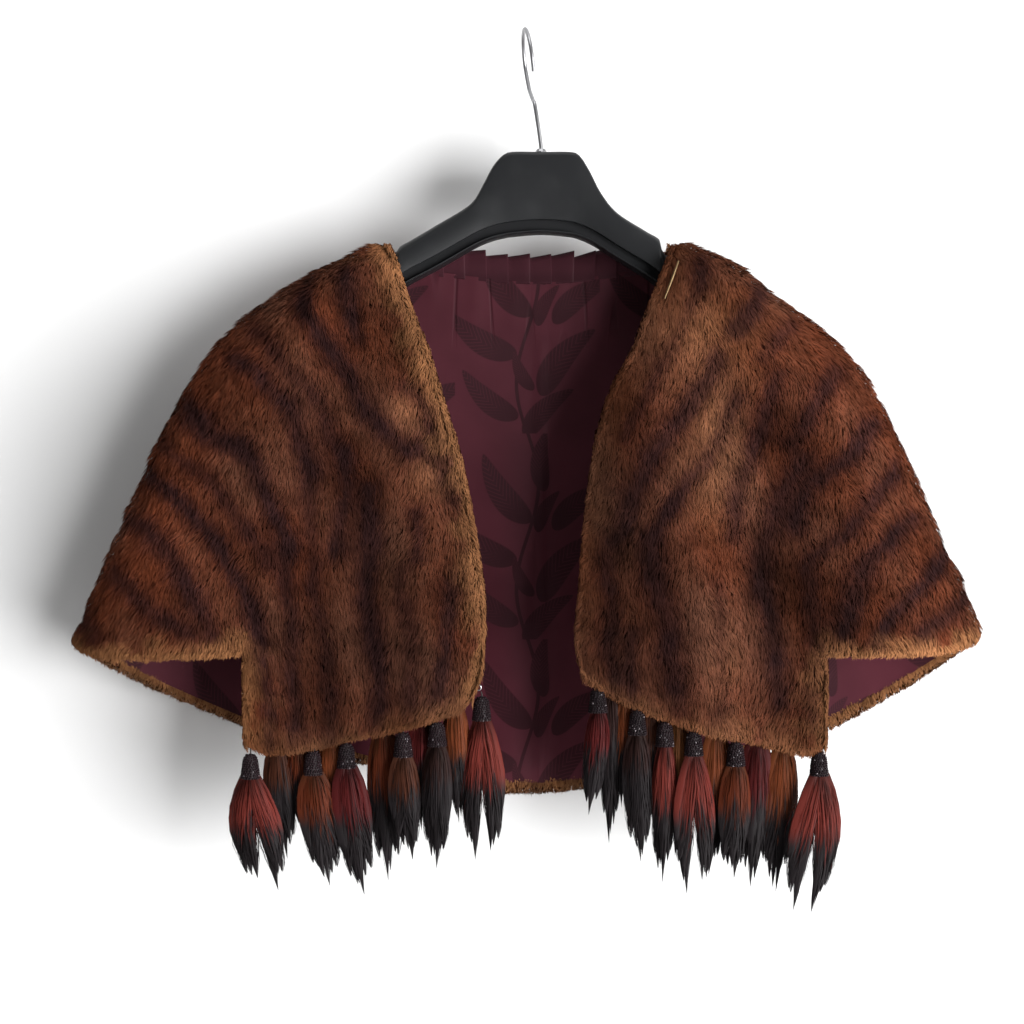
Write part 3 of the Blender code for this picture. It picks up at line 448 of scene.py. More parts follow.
@dataclass
class PeltMarks:
    """The pelt's colouring: dark stripes, pale and deep patches, and redder shoulders. Some of the
    patches are the pelt's own tone, and others are painted light and shade.
    """

    seed: int = 31
    blend_depth: float = 12.0
    deep_below: float = -300.0
    wing_from: float = 215.0
    warm_above: float = -330.0
    warm_beyond: float = 175.0

    # Patches of the front: middle, half width, half height, and how deep or how pale
    # Besides the pelt's own tone, they hold painted shade in fold hollows and creases and on sides
    # turned from the lamps,
    # and painted light on the left wing and on the lit top of the right front
    TONE_AND_LIGHT_PATCHES = (
        (-108, -232, 30, 42, -0.50), (-65, -300, 16, 36, -0.20), (-135, -282, 50, 16, -0.22),
        (-214, -328, 24, 34, -0.26), (-134, -356, 24, 22, -0.22), (-65, -390, 18, 60, -0.06),
        (-122, -330, 34, 48, -0.18), (-120, -440, 60, 90, -0.18), (-158, -512, 26, 70, -0.40),
        (-300, -410, 46, 80, 0.50), (-262, -330, 36, 60, 0.22), (-250, -465, 40, 30, 0.05),
        (-94, -298, 17, 22, 0.75), (-76, -352, 15, 20, 0.70), (-84, -325, 12, 5, -0.35),
        (70, -300, 34, 100, -0.26), (76, -440, 26, 130, -0.36), (95, -420, 40, 34, -0.20),
        (214, -430, 44, 90, -0.52), (190, -410, 20, 30, -0.18), (195, -312, 26, 20, -0.32),
        (146, -232, 38, 34, 0.80), (150, -335, 30, 70, 0.75), (152, -312, 16, 20, 0.40),
        (250, -300, 40, 60, 0.15), (243, -344, 16, 16, -0.30), (262, -478, 44, 24, -0.28),
        (152, -486, 18, 60, 0.48), (290, -492, 75, 13, 0.50), (-290, -490, 75, 11, 0.12),
    )

    def __post_init__(self) -> None:
        """Draws the maps."""
        self.front = StripeMap(WING_STRIPES + FRONT_STRIPES, self.seed)
        self.rear = StripeMap(WING_STRIPES + BACK_STRIPES, self.seed)
        self.patches = Ripple(70, self.seed + 7)
        self.flecks = Ripple(22, self.seed + 8)

    def behind(self, places: np.ndarray) -> np.ndarray:
        """How far places lie round to the back: 0 in front, 1 behind."""
        return smoothstep(0.5 + places[..., 1] / (2 * self.blend_depth))

    def dark(self, places: np.ndarray) -> np.ndarray:
        """The stripes' darkness from 0 to 1 at places in millimetres."""
        x, z = places[..., 0], places[..., 2]
        behind = self.behind(places)
        stripes = (1 - behind) * self.front.at(x, z) + behind * self.rear.at(x, z)
        return np.clip(stripes + 0.08 * self.flecks.at(places), 0, 1)

    def tone(self, places: np.ndarray) -> np.ndarray:
        """How much paler or deeper the pelt is than usual: partly its own tone, partly painted
        light and shade.

        Args:
            places: Places in millimetres.

        Returns:
            Above 0 where it is paler, and below 0 where it is deeper.
        """
        x, z = places[..., 0], places[..., 2]
        total = 0.10 * self.patches.at(places[..., ::-1])
        for middle_x, middle_z, wide, high, strength in self.TONE_AND_LIGHT_PATCHES:
            gap = ((x - middle_x) / wide) ** 2 + ((z - middle_z) / high) ** 2
            total = total + strength * np.exp(-gap)
        low = smoothstep((self.deep_below - z) / 120)
        low = low * smoothstep((self.wing_from - np.abs(x)) / 50)
        return np.clip((total - 0.14 * low) * (1 - self.behind(places)), -0.7, 0.9)

    def warm(self, places: np.ndarray) -> np.ndarray:
        """How red the pelt is, from 0 to 1: more so over the shoulders."""
        high = smoothstep((places[..., 2] - self.warm_above) / 150)
        wing = smoothstep((np.abs(places[..., 0]) - self.warm_beyond) / 60)
        return np.clip(0.35 + 0.30 * self.patches.at(places) + 0.25 * high + 0.38 * wing, 0, 1)


@dataclass
class FreeEdge:
    """A panel's edge that isn't sewn to a neighbour."""

    rim: Rim
    flow: Flow
    start: int = 0
    stop: int | None = None
    wrap: float = 1.02
    # How gilt the edge's hair is: its gold colour, raised or lowered as painted light and shade by
    # how the edge faces the lamps
    gilt: float = 0.85
    turn_reach: float = 15.0


@dataclass
class Panel:
    """One panel of the pelt: its outer points and normals, in millimetres."""

    name: str
    grid: np.ndarray
    normals: np.ndarray
    free: list[FreeEdge]

    def rim_line(self, rim: Rim, layer: np.ndarray) -> tuple[np.ndarray, np.ndarray]:
        """A grid edge's points and the points one step inside them.

        Args:
            rim: Which edge.
            layer: The grid of points or of other vectors.

        Returns:
            The values on the edge and those beside it.
        """
        if rim is Rim.FIRST:
            return layer[:, 0], layer[:, 1]
        if rim is Rim.LAST:
            return layer[:, -1], layer[:, -2]
        if rim is Rim.TOP:
            return layer[0], layer[1]
        return layer[-1], layer[-2]

    def edge_gap(self) -> tuple[np.ndarray, np.ndarray, np.ndarray]:
        """How the panel lies to its free edges.

        Returns:
            Each grid point's distance from the nearest free edge, how far it turns over
            towards it as a vector, and the edge's gilt, which is partly painted light.
        """
        gap = np.full(self.grid.shape[:2], 1e9)
        turn = np.zeros_like(self.grid)
        gilt = np.zeros_like(gap)
        for edge in self.free:
            line, inner = self.rim_line(edge.rim, self.grid)
            line, inner = line[edge.start:edge.stop], inner[edge.start:edge.stop]
            for place, out in zip(line, unit(line - inner)):
                far = np.linalg.norm(self.grid - place, axis=-1)
                nearer = far < gap
                gap[nearer] = far[nearer]
                over = 0.9 * np.clip(1 - far[nearer] / edge.turn_reach, 0, 1) ** 2
                turn[nearer] = over[:, None] * out
                gilt[nearer] = edge.gilt
        return gap, turn, gilt

    def scatter(self, count: int, draw: np.random.Generator) -> tuple[np.ndarray, np.ndarray]:
        """Even random places on the panel.

        Args:
            count: How many.
            draw: The random draw.

        Returns:
            Their rows and columns, as fractions of a step.
        """
        areas = np.linalg.norm(cell_crosses(self.grid), axis=-1)
        total = np.cumsum(areas.ravel())
        pick = (np.arange(count) + draw.uniform(size=count)) * total[-1] / count
        quad = np.minimum(np.searchsorted(total, pick), len(total) - 1)
        rows, columns = np.divmod(quad, areas.shape[1])
        return rows + draw.uniform(size=count), columns + draw.uniform(size=count)


def even(start: np.ndarray, end: np.ndarray, count: int) -> np.ndarray:
    """count + 1 even points from start to end, one a row."""
    share = np.linspace(0, 1, count + 1)[:, None]
    return np.asarray(start, float) * (1 - share) + np.asarray(end, float) * share


def coons(top: np.ndarray, bottom: np.ndarray, first: np.ndarray, last: np.ndarray) -> np.ndarray:
    """The grid of (x, z) between four edges that share their corners.

    Args:
        top: The edge of the first row.
        bottom: The edge of the last row.
        first: The edge of the first column.
        last: The edge of the last column.

    Returns:
        The places, by row and column.
    """
    t = np.linspace(0, 1, len(first))[:, None, None]
    u = np.linspace(0, 1, len(top))[None, :, None]
    edges = (1 - t) * top[None] + t * bottom[None]
    sides = (1 - u) * first[:, None] + u * last[:, None]
    corners = ((1 - t) * ((1 - u) * top[0] + u * top[-1])
               + t * ((1 - u) * bottom[0] + u * bottom[-1]))
    return edges + sides - corners


def fold_height(folds: Sequence[Fold], x: np.ndarray, z: np.ndarray, floor: float) -> np.ndarray:
    """How far the folds lift the cloth at places in the front view.

    Args:
        folds: The folds.
        x: The places across.
        z: Their heights.
        floor: The height at which the folds are full.

    Returns:
        The lift at each place.
    """
    height = np.zeros_like(x)
    for fold in folds:
        rise = smoothstep((fold.top - z) / (fold.top - floor))
        height += fold.height * rise * np.exp(-((x - fold.x) / fold.width) ** 2)
    return height


@dataclass
class PeltForm:
    """The stole's outer surface, cut into two fronts, two sleeves and a back."""

    arc_rows: int = 12
    seam_rows: int = 52
    step_rows: int = 10
    shoulder_columns: int = 24
    neck_columns: int = 40
    neck_radius: float = 27.0
    shoulder_radius: float = 36.0
    back_neck_radius: float = 34.0
    front_hem_depth: float = 50.0
    back_hem_depth: float = 41.0
    fall_length: float = 330.0
    sleeve_sag: float = 9.0
    hem_at_neck: float = 0.22
    panels: dict[str, Panel] = field(default_factory=dict)

    def fallen_depth(self, radius: np.ndarray, hem_depth: float, drop: np.ndarray) -> np.ndarray:
        """The cloth's depth, easing from the shoulder's radius to its depth at the hem."""
        return radius + (hem_depth - radius) * smoothstep((drop - radius) / self.fall_length)

    def arc(self) -> np.ndarray:
        """The angles of the rows that turn over the shoulder line, from its top."""
        return np.linspace(0, math.pi / 2, self.arc_rows + 1)

    def shoulder_run(self, side: Side) -> tuple[np.ndarray, np.ndarray]:
        """The shoulder seam's points from the neck outward, and the arc's radius at each."""
        route = Route(SHOULDER_LINE[side])
        shares = np.linspace(0, 1, self.shoulder_columns + 1)
        tops = route.at(float(route.share_at(0, SHOULDER_POINT_X[side])) * shares)
        return tops, self.neck_radius + (self.shoulder_radius - self.neck_radius) * shares

    def front_grid(self, side: Side) -> np.ndarray:
        """The outer points of a front.

        Args:
            side: Which front.

        Returns:
            The points, in rows from the shoulder seam down and columns outward.
        """
        edge = Route(FRONT_EDGE[side])
        tops, radii = self.shoulder_run(side)
        inward = 1 - np.linspace(0, 1, self.shoulder_columns + 1)
        angles = self.arc()[:, None]
        drop = radii * (1 - np.cos(angles))
        edge_x = edge.at(edge.share_at(1, tops[0, 1] - drop))[..., 0] - tops[0, 0]
        arc = np.stack([tops[:, 0] + inward * edge_x, -radii * np.sin(angles),
                        tops[:, 1] - drop], axis=-1)
        end = arc[-1][:, [0, 2]]
        below = self.seam_rows + self.step_rows
        start = float(edge.share_at(1, end[0, 1]))
        first = edge.at(np.linspace(start, 1, below + 1))
        first[0] = end[0]
        bottom = Route(FRONT_HEM[side]).at(np.linspace(0, 1, self.shoulder_columns + 1))
        last = np.vstack([even(end[-1], FRONT_NOTCH[side], self.seam_rows),
                          even(FRONT_NOTCH[side], bottom[-1], self.step_rows)[1:]])
        flat = coons(end, bottom, first, last)[1:]
        x, z = flat[..., 0], flat[..., 1]
        depth = self.fallen_depth(radii, self.front_hem_depth, tops[:, 1] - z)
        depth += fold_height(FRONT_FOLDS, x, z, FRONT_HEM[side][-2].z)
        return np.concatenate([arc, np.stack([x, -depth, z], axis=-1)])

    def back_grid(self) -> np.ndarray:
        """The outer points of the back: rows from the neck down, columns from left to right."""
        neck = np.linspace(0, 1, self.neck_columns + 1)[1:-1]
        bulge = np.sin(math.pi * neck) ** 0.5
        left, left_radii = self.shoulder_run(Side.LEFT)
        right, right_radii = self.shoulder_run(Side.RIGHT)
        tops = np.vstack([
            np.insert(left[::-1], 1, 0.0, axis=1), Route(NECKLINE).at(neck),
            np.insert(right, 1, 0.0, axis=1),
        ])
        rise = self.back_neck_radius - self.neck_radius
        radii = np.concatenate([left_radii[::-1], self.neck_radius + rise * bulge, right_radii])
        out = self.hem_at_neck * np.linspace(0, 1, self.shoulder_columns + 1)
        shares = np.concatenate([out, self.hem_at_neck + (1 - 2 * self.hem_at_neck) * neck,
                                 1 - out[::-1]])
        angles = self.arc()[:, None]
        y = tops[:, 1] + (radii - tops[:, 1]) * np.sin(angles)
        arc = np.stack([np.broadcast_to(tops[:, 0], y.shape), y,
                        tops[:, 2] - radii * (1 - np.cos(angles))], axis=-1)
        bottom = Route(BACK_HEM).at(shares)
        end = arc[-1][:, [0, 2]]
        flat = coons(end, bottom, even(end[0], bottom[0], self.seam_rows),
                     even(end[-1], bottom[-1], self.seam_rows))[1:]
        x, z = flat[..., 0], flat[..., 1]
        depth = self.fallen_depth(radii, self.back_hem_depth, tops[:, 2] - z)
        depth += fold_height(BACK_FOLDS, x, z, BACK_HEM[3].z)
        return np.concatenate([arc, np.stack([x, depth, z], axis=-1)])

    def sleeve_grid(self, side: Side, front: np.ndarray, back: np.ndarray) -> np.ndarray:
        """The outer points of a sleeve.

        Args:
            side: Which sleeve.
            front: The points of the front that it is sewn to.
            back: The points of the back.

        Returns:
            The points, in rings down its length and columns from front to back.
        """
        route = Route(SHOULDER_LINE[side])
        point = float(route.share_at(0, SHOULDER_POINT_X[side]))
        outline = np.insert(route.at(np.linspace(point, 1, self.seam_rows + 1)), 1, 0.0, axis=1)
        seams = (front[:, -1], back[:, 0] if side is Side.LEFT else back[:, -1])
        halves = []
        angles = self.arc()[None, :, None]
        for seam in seams:
            end = seam[self.arc_rows:self.arc_rows + self.seam_rows + 1]
            centre = end * (1.0, 0.0, 1.0)
            half = (centre[:, None] + (outline - centre)[:, None] * np.cos(angles)
                    + (end - centre)[:, None] * np.sin(angles))
            down = np.linspace(0, 1, self.seam_rows + 1)[:, None] ** 2
            half[..., 2] -= self.sleeve_sag * np.sin(2 * angles[..., 0]) * down
            half[0] = seam[:self.arc_rows + 1]
            halves.append(half)
        return np.concatenate([halves[0][:, ::-1], halves[1][:, 1:]], axis=1)

    def cut(self) -> None:
        """Makes all five panels with normals that agree along their seams."""
        back = self.back_grid()
        seam_end = self.arc_rows + self.seam_rows
        made = []
        for side in Side:
            front = self.front_grid(side)
            # The left front's inner edge faces the key lamp and the right's is turned from it, so
            # much gilt on the left and little on the right is painted light and shade over the
            # edges' gold colour
            front_edge_light = 0.95 if side is Side.LEFT else 0.15
            edges = [FreeEdge(Rim.FIRST, Flow.ALONG, gilt=front_edge_light, turn_reach=46.0),
                     FreeEdge(Rim.BOTTOM, Flow.OVER, gilt=0.45),
                     FreeEdge(Rim.LAST, Flow.ALONG, seam_end)]
            made.append((f"front_{side.value}", front, (0.0, -1.0, 0.0), edges))
            # The sleeves' under-rims lie in the fronts' shade, and their full gilt is partly
            # painted light
            made.append((f"sleeve_{side.value}", self.sleeve_grid(side, front, back),
                         (side.outward, 0.0, 0.6), [FreeEdge(Rim.BOTTOM, Flow.OVER, gilt=1.0)]))
        neck = FreeEdge(Rim.TOP, Flow.OVER, self.shoulder_columns,
                        self.shoulder_columns + self.neck_columns + 1, wrap=0.20)
        # The back's under-rim, too, has full gilt that is partly painted light
        made.append(("back", back, (0.0, 1.0, 0.0),
                     [FreeEdge(Rim.BOTTOM, Flow.OVER, gilt=1.0), neck]))
        normals = self.shared_normals([(grid, outward) for _, grid, outward, _ in made])
        self.panels = {name: Panel(name, grid, normal, edges)
                       for (name, grid, _, edges), normal in zip(made, normals)}

    @staticmethod
    def shared_normals(grids: list[tuple[np.ndarray, tuple]]) -> list[np.ndarray]:
        """Outward normals at every point, averaged over all the grids that share it.

        Args:
            grids: Each grid with a rough outward direction.

        Returns:
            The normals of each grid.
        """
        sums = []
        for grid, outward in grids:
            faces = cell_crosses(grid)
            total = np.zeros_like(grid)
            for rows in (slice(0, -1), slice(1, None)):
                for columns in (slice(0, -1), slice(1, None)):
                    total[rows, columns] += faces
            middle = total[grid.shape[0] // 2, grid.shape[1] // 2]
            sums.append(total if middle @ np.array(outward) > 0 else -total)
        places = np.vstack([grid.reshape(-1, 3) for grid, _ in grids])
        _, owner = np.unique(np.round(places, 2), axis=0, return_inverse=True)
        flat = np.vstack([total.reshape(-1, 3) for total in sums])
        pooled = np.stack([np.bincount(owner.ravel(), weights=flat[:, axis]) for axis in range(3)],
                          axis=1)
        merged = unit(pooled[owner.ravel()])
        normals, start = [], 0
        for grid, _ in grids:
            count = grid.shape[0] * grid.shape[1]
            normals.append(merged[start:start + count].reshape(grid.shape))
            start += count
        return normals


# The neck's turn is tighter than the cloth is thick, so its edge hardly moves in
NECK_INSET = 0.8


def inset_layer(layer: np.ndarray, panel: Panel, inset: float) -> np.ndarray:
    """A layer of a panel with its free edges moved in along the cloth.

    Args:
        layer: The layer's points.
        panel: The panel that it belongs to.
        inset: How far the edges move, in millimetres.

    Returns:
        The moved layer.
    """
    moved = layer.copy()
    for edge in panel.free:
        line, inner = panel.rim_line(edge.rim, moved)
        run = slice(edge.start, edge.stop)
        step = min(inset, NECK_INSET) if edge.rim is Rim.TOP else inset
        line[run] += step * unit(inner[run] - line[run])
    return moved


def mesh_object(name: str, points: np.ndarray, faces: Sequence[Sequence[int]],
                material: Material, crease: float = 60.0) -> Object:
    """A smooth-shaded mesh object in the scene.

    Args:
        name: The object's name.
        points: Its points in millimetres, one a row.
        faces: The corners of each face.
        material: Its material.
        crease: The angle in degrees past which an edge is drawn sharp.

    Returns:
        The object.
    """
    mesh = bpy.data.meshes.new(name)
    mesh.from_pydata((np.asarray(points, float) * MM).tolist(), [],
                     [tuple(int(i) for i in face) for face in faces])
    mesh.validate()
    mesh.shade_smooth()
    mesh.set_sharp_from_angle(angle=math.radians(crease))
    mesh.materials.append(material)
    made = bpy.data.objects.new(name, mesh)
    bpy.context.scene.collection.objects.link(made)
    return made


def wall_object(name: str, near: np.ndarray, far: np.ndarray,
                material: Material) -> Object:
    """A closed wall between two grids of points.

    Args:
        name: The object's name.
        near: The grid of its outer face, in millimetres.
        far: The grid of its inner face.
        material: Its material.

    Returns:
        The object.
    """
    rows, columns = near.shape[:2]
    count = rows * columns
    index = np.arange(count).reshape(rows, columns)
    quads = grid_quads(index)
    rim = np.concatenate([index[0], index[1:, -1], index[-1, -2::-1], index[-2:0:-1, 0]])
    after = np.roll(rim, -1)
    side = np.stack([rim, rim + count, after + count, after], axis=-1)
    faces = np.vstack([quads, quads[:, ::-1] + count, side])
    points = np.vstack([near.reshape(-1, 3), far.reshape(-1, 3)])
    made = mesh_object(name, points, faces, material)
    facing = np.array(made.data.polygons[len(quads) // 2].normal)
    outward = near[rows // 2, columns // 2] - far[rows // 2, columns // 2]
    if facing @ outward < 0:
        made.data.flip_normals()
    return made


def set_marks(mesh: Mesh, mark: np.ndarray, hue: np.ndarray) -> None:
    """Writes the pile's colour marks on a mesh's points.

    Args:
        mesh: The mesh.
        mark: Darkness, place along the hair and the hair's own shade, one row a point. The place
            along darkens a hair towards its root, as painted shade.
        hue: Warmth, gilt and dye, one row a point. The gilt is partly painted light, and on the
            pelt the third holds its tone, with painted light and shade.
    """
    for name, values in (("pile_mark", mark), ("pile_hue", hue)):
        layer = mesh.attributes.new(name, "FLOAT_VECTOR", "POINT")
        layer.data.foreach_set("vector", np.ascontiguousarray(values, np.float32).ravel())


@dataclass
class StrandBatch:
    """Blade-shaped hairs that share a number of nodes, in millimetres."""

    spine: np.ndarray
    across: np.ndarray
    facing: np.ndarray
    mark: np.ndarray
    hue: np.ndarray
    taper: tuple[float, ...] = (1.0,)

    @staticmethod
    def joined(batches: Sequence["StrandBatch"]) -> "StrandBatch":
        """One batch of all the hairs."""
        pooled = [np.concatenate([getattr(batch, name) for batch in batches])
                  for name in ("spine", "across", "facing", "mark", "hue")]
        return StrandBatch(*pooled, batches[0].taper)

    def corners(self, per_node: np.ndarray) -> np.ndarray:
        """Values given at nodes, spread to each hair's corners."""
        inner = np.repeat(per_node[:, 1:-1], 2, axis=1)
        return np.concatenate([per_node[:, :1], inner, per_node[:, -1:]], axis=1)

    def build(self, name: str, material: Material) -> Object:
        """Makes the hairs one mesh, each with its own cell of the bake's map.

        Args:
            name: The object's name.
            material: The hairs' material.

        Returns:
            The object.
        """
        count, nodes = self.spine.shape[:2]
        points = self.corners(self.spine)
        sides = np.array([s * t for t in self.taper for s in (1.0, -1.0)])
        points[:, 1:-1] += self.across[:, None] * sides[None, :, None]
        span = points.shape[1]
        tris = [(0, 1, 2)]
        for step in range(1, span - 3, 2):
            tris += [(step, step + 2, step + 3), (step, step + 3, step + 1)]
        tris.append((span - 3, span - 1, span - 2))
        tris = (np.arange(count)[:, None, None] * span + np.array(tris)).reshape(-1, 3)
        mesh = bpy.data.meshes.new(name)
        mesh.vertices.add(count * span)
        mesh.vertices.foreach_set("co", (points * MM).astype(np.float32).ravel())
        mesh.loops.add(tris.size)
        mesh.loops.foreach_set("vertex_index", tris.astype(np.int32).ravel())
        mesh.polygons.add(len(tris))
        mesh.polygons.foreach_set("loop_start", np.arange(0, tris.size, 3, dtype=np.int32))
        mesh.update(calc_edges=True)
        mesh.shade_smooth()
        mesh.normals_split_custom_set_from_vertices(np.repeat(self.facing, span, axis=0))
        set_marks(mesh, self.corners(self.mark).reshape(-1, 3),
                  self.corners(self.hue).reshape(-1, 3))
        cells = math.ceil(math.sqrt(count))
        place = np.linspace(0.08, 0.92, nodes)
        u = np.concatenate([[0.5], np.tile([0.12, 0.88], nodes - 2), [0.5]])
        v = np.concatenate([[place[0]], np.repeat(place[1:-1], 2), [place[-1]]])
        row, column = np.divmod(np.arange(count), cells)
        uv = np.stack([(column[:, None] + u) / cells, (row[:, None] + v) / cells], axis=-1)
        layer = mesh.uv_layers.new(name="OFBake")
        layer.data.foreach_set("uv", uv.reshape(-1, 2)[tris.ravel()].astype(np.float32).ravel())
        mesh.materials.append(material)
        made = bpy.data.objects.new(name, mesh)
        bpy.context.scene.collection.objects.link(made)
        return made


class Board:
    """A node tree, with short ways to fill it."""

    def __init__(self, tree: NodeTree) -> None:
        """Takes the tree."""
        self.tree = tree

    def put(self, kind: str, values: dict | None = None, **settings: object) -> Node:
        """Adds a node.

        Args:
            kind: The node's type name.
            values: Its inputs by name or place: a value, or a socket to link from.
            settings: Its other properties.

        Returns:
            The node.
        """
        node = self.tree.nodes.new(kind)
        for name, value in settings.items():
            setattr(node, name, value)
        self.fill(node, values or {})
        return node

    def fill(self, node: Node, values: dict) -> None:
        """Sets a node's inputs.

        Args:
            node: The node.
            values: Its inputs by name or place: a value, or a socket to link from.
        """
        for key, value in values.items():
            if isinstance(value, NodeSocket):
                self.tree.links.new(value, node.inputs[key])
            else:
                node.inputs[key].default_value = value

    def place(self) -> NodeSocket:
        """The place on the object, in metres."""
        return self.put("ShaderNodeTexCoord").outputs["Object"]

    def mark(self, name: str) -> NodeSocket:
        """The vector that a mesh's points hold under a name."""
        return self.put("ShaderNodeAttribute", attribute_name=name).outputs["Vector"]

    def sum(self, operation: str, *values: object) -> NodeSocket:
        """A Math node's result."""
        return self.put("ShaderNodeMath", dict(enumerate(values)), operation=operation).outputs[0]

    def blend(self, share: object, a: object, b: object, mode: str = "MIX") -> NodeSocket:
        """Two colours mixed."""
        return self.put("ShaderNodeMix", {0: share, 6: a, 7: b}, data_type="RGBA",
                        blend_type=mode).outputs[2]

    def grey(self, level: object) -> NodeSocket:
        """The grey of a level."""
        return self.put("ShaderNodeCombineColor", {0: level, 1: level, 2: level}).outputs[0]

    def shaded(self, colour: object, level: object) -> NodeSocket:
        """A colour times a level."""
        return self.blend(1.0, colour, self.grey(level), "MULTIPLY")

    def spread(self, value: object, low: float, high: float, to_low: object = 0.0,
               to_high: object = 1.0) -> NodeSocket:
        """A value moved softly from one range to another."""
        return self.put("ShaderNodeMapRange", {0: value, 1: low, 2: high, 3: to_low, 4: to_high},
                        interpolation_type="SMOOTHSTEP").outputs[0]

    def split(self, vector: object) -> tuple:
        """A vector's three parts."""
        return tuple(self.put("ShaderNodeSeparateXYZ", {0: vector}).outputs)

    def group(self, tree: NodeTree, values: dict) -> Sequence[NodeSocket]:
        """The outputs of a node group, placed with its own values."""
        return self.put("ShaderNodeGroup", values, node_tree=tree).outputs

    def bump(self, height: NodeSocket, strength: float, distance: float,
             over: NodeSocket | None = None) -> NodeSocket:
        """Normals that follow a height.

        Args:
            height: The height.
            strength: How strongly they follow it, from 0 to 1.
            distance: The height of 1, in metres.
            over: Other normals to start from.

        Returns:
            The normals.
        """
        values = {"Height": height, "Strength": strength, "Distance": distance}
        if over is not None:
            values["Normal"] = over
        return self.put("ShaderNodeBump", values).outputs[0]


class Socket(Enum):
    """The kinds of socket that the groups have."""

    VALUE = "NodeSocketFloat"
    VECTOR = "NodeSocketVector"
    COLOUR = "NodeSocketColor"


class EffectGroup:
    """A shader effect that several materials use, built once as a node group."""

    def __init__(self, name: str, takes: dict[str, Socket], gives: dict[str, Socket]) -> None:
        """Makes the group with its sockets.

        Args:
            name: The group's name.
            takes: Its inputs.
            gives: Its outputs.
        """
        self.tree = bpy.data.node_groups.new(name, "ShaderNodeTree")
        for way, sockets in (("INPUT", takes), ("OUTPUT", gives)):
            for label, kind in sockets.items():
                self.tree.interface.new_socket(label, in_out=way, socket_type=kind.value)
        self.board = Board(self.tree)
        self.taken = self.board.put("NodeGroupInput").outputs
        self.given = self.board.put("NodeGroupOutput").inputs

    def give(self, name: str, socket: NodeSocket) -> None:
        """Links a socket to one of the group's outputs."""
        self.tree.links.new(socket, self.given[name])


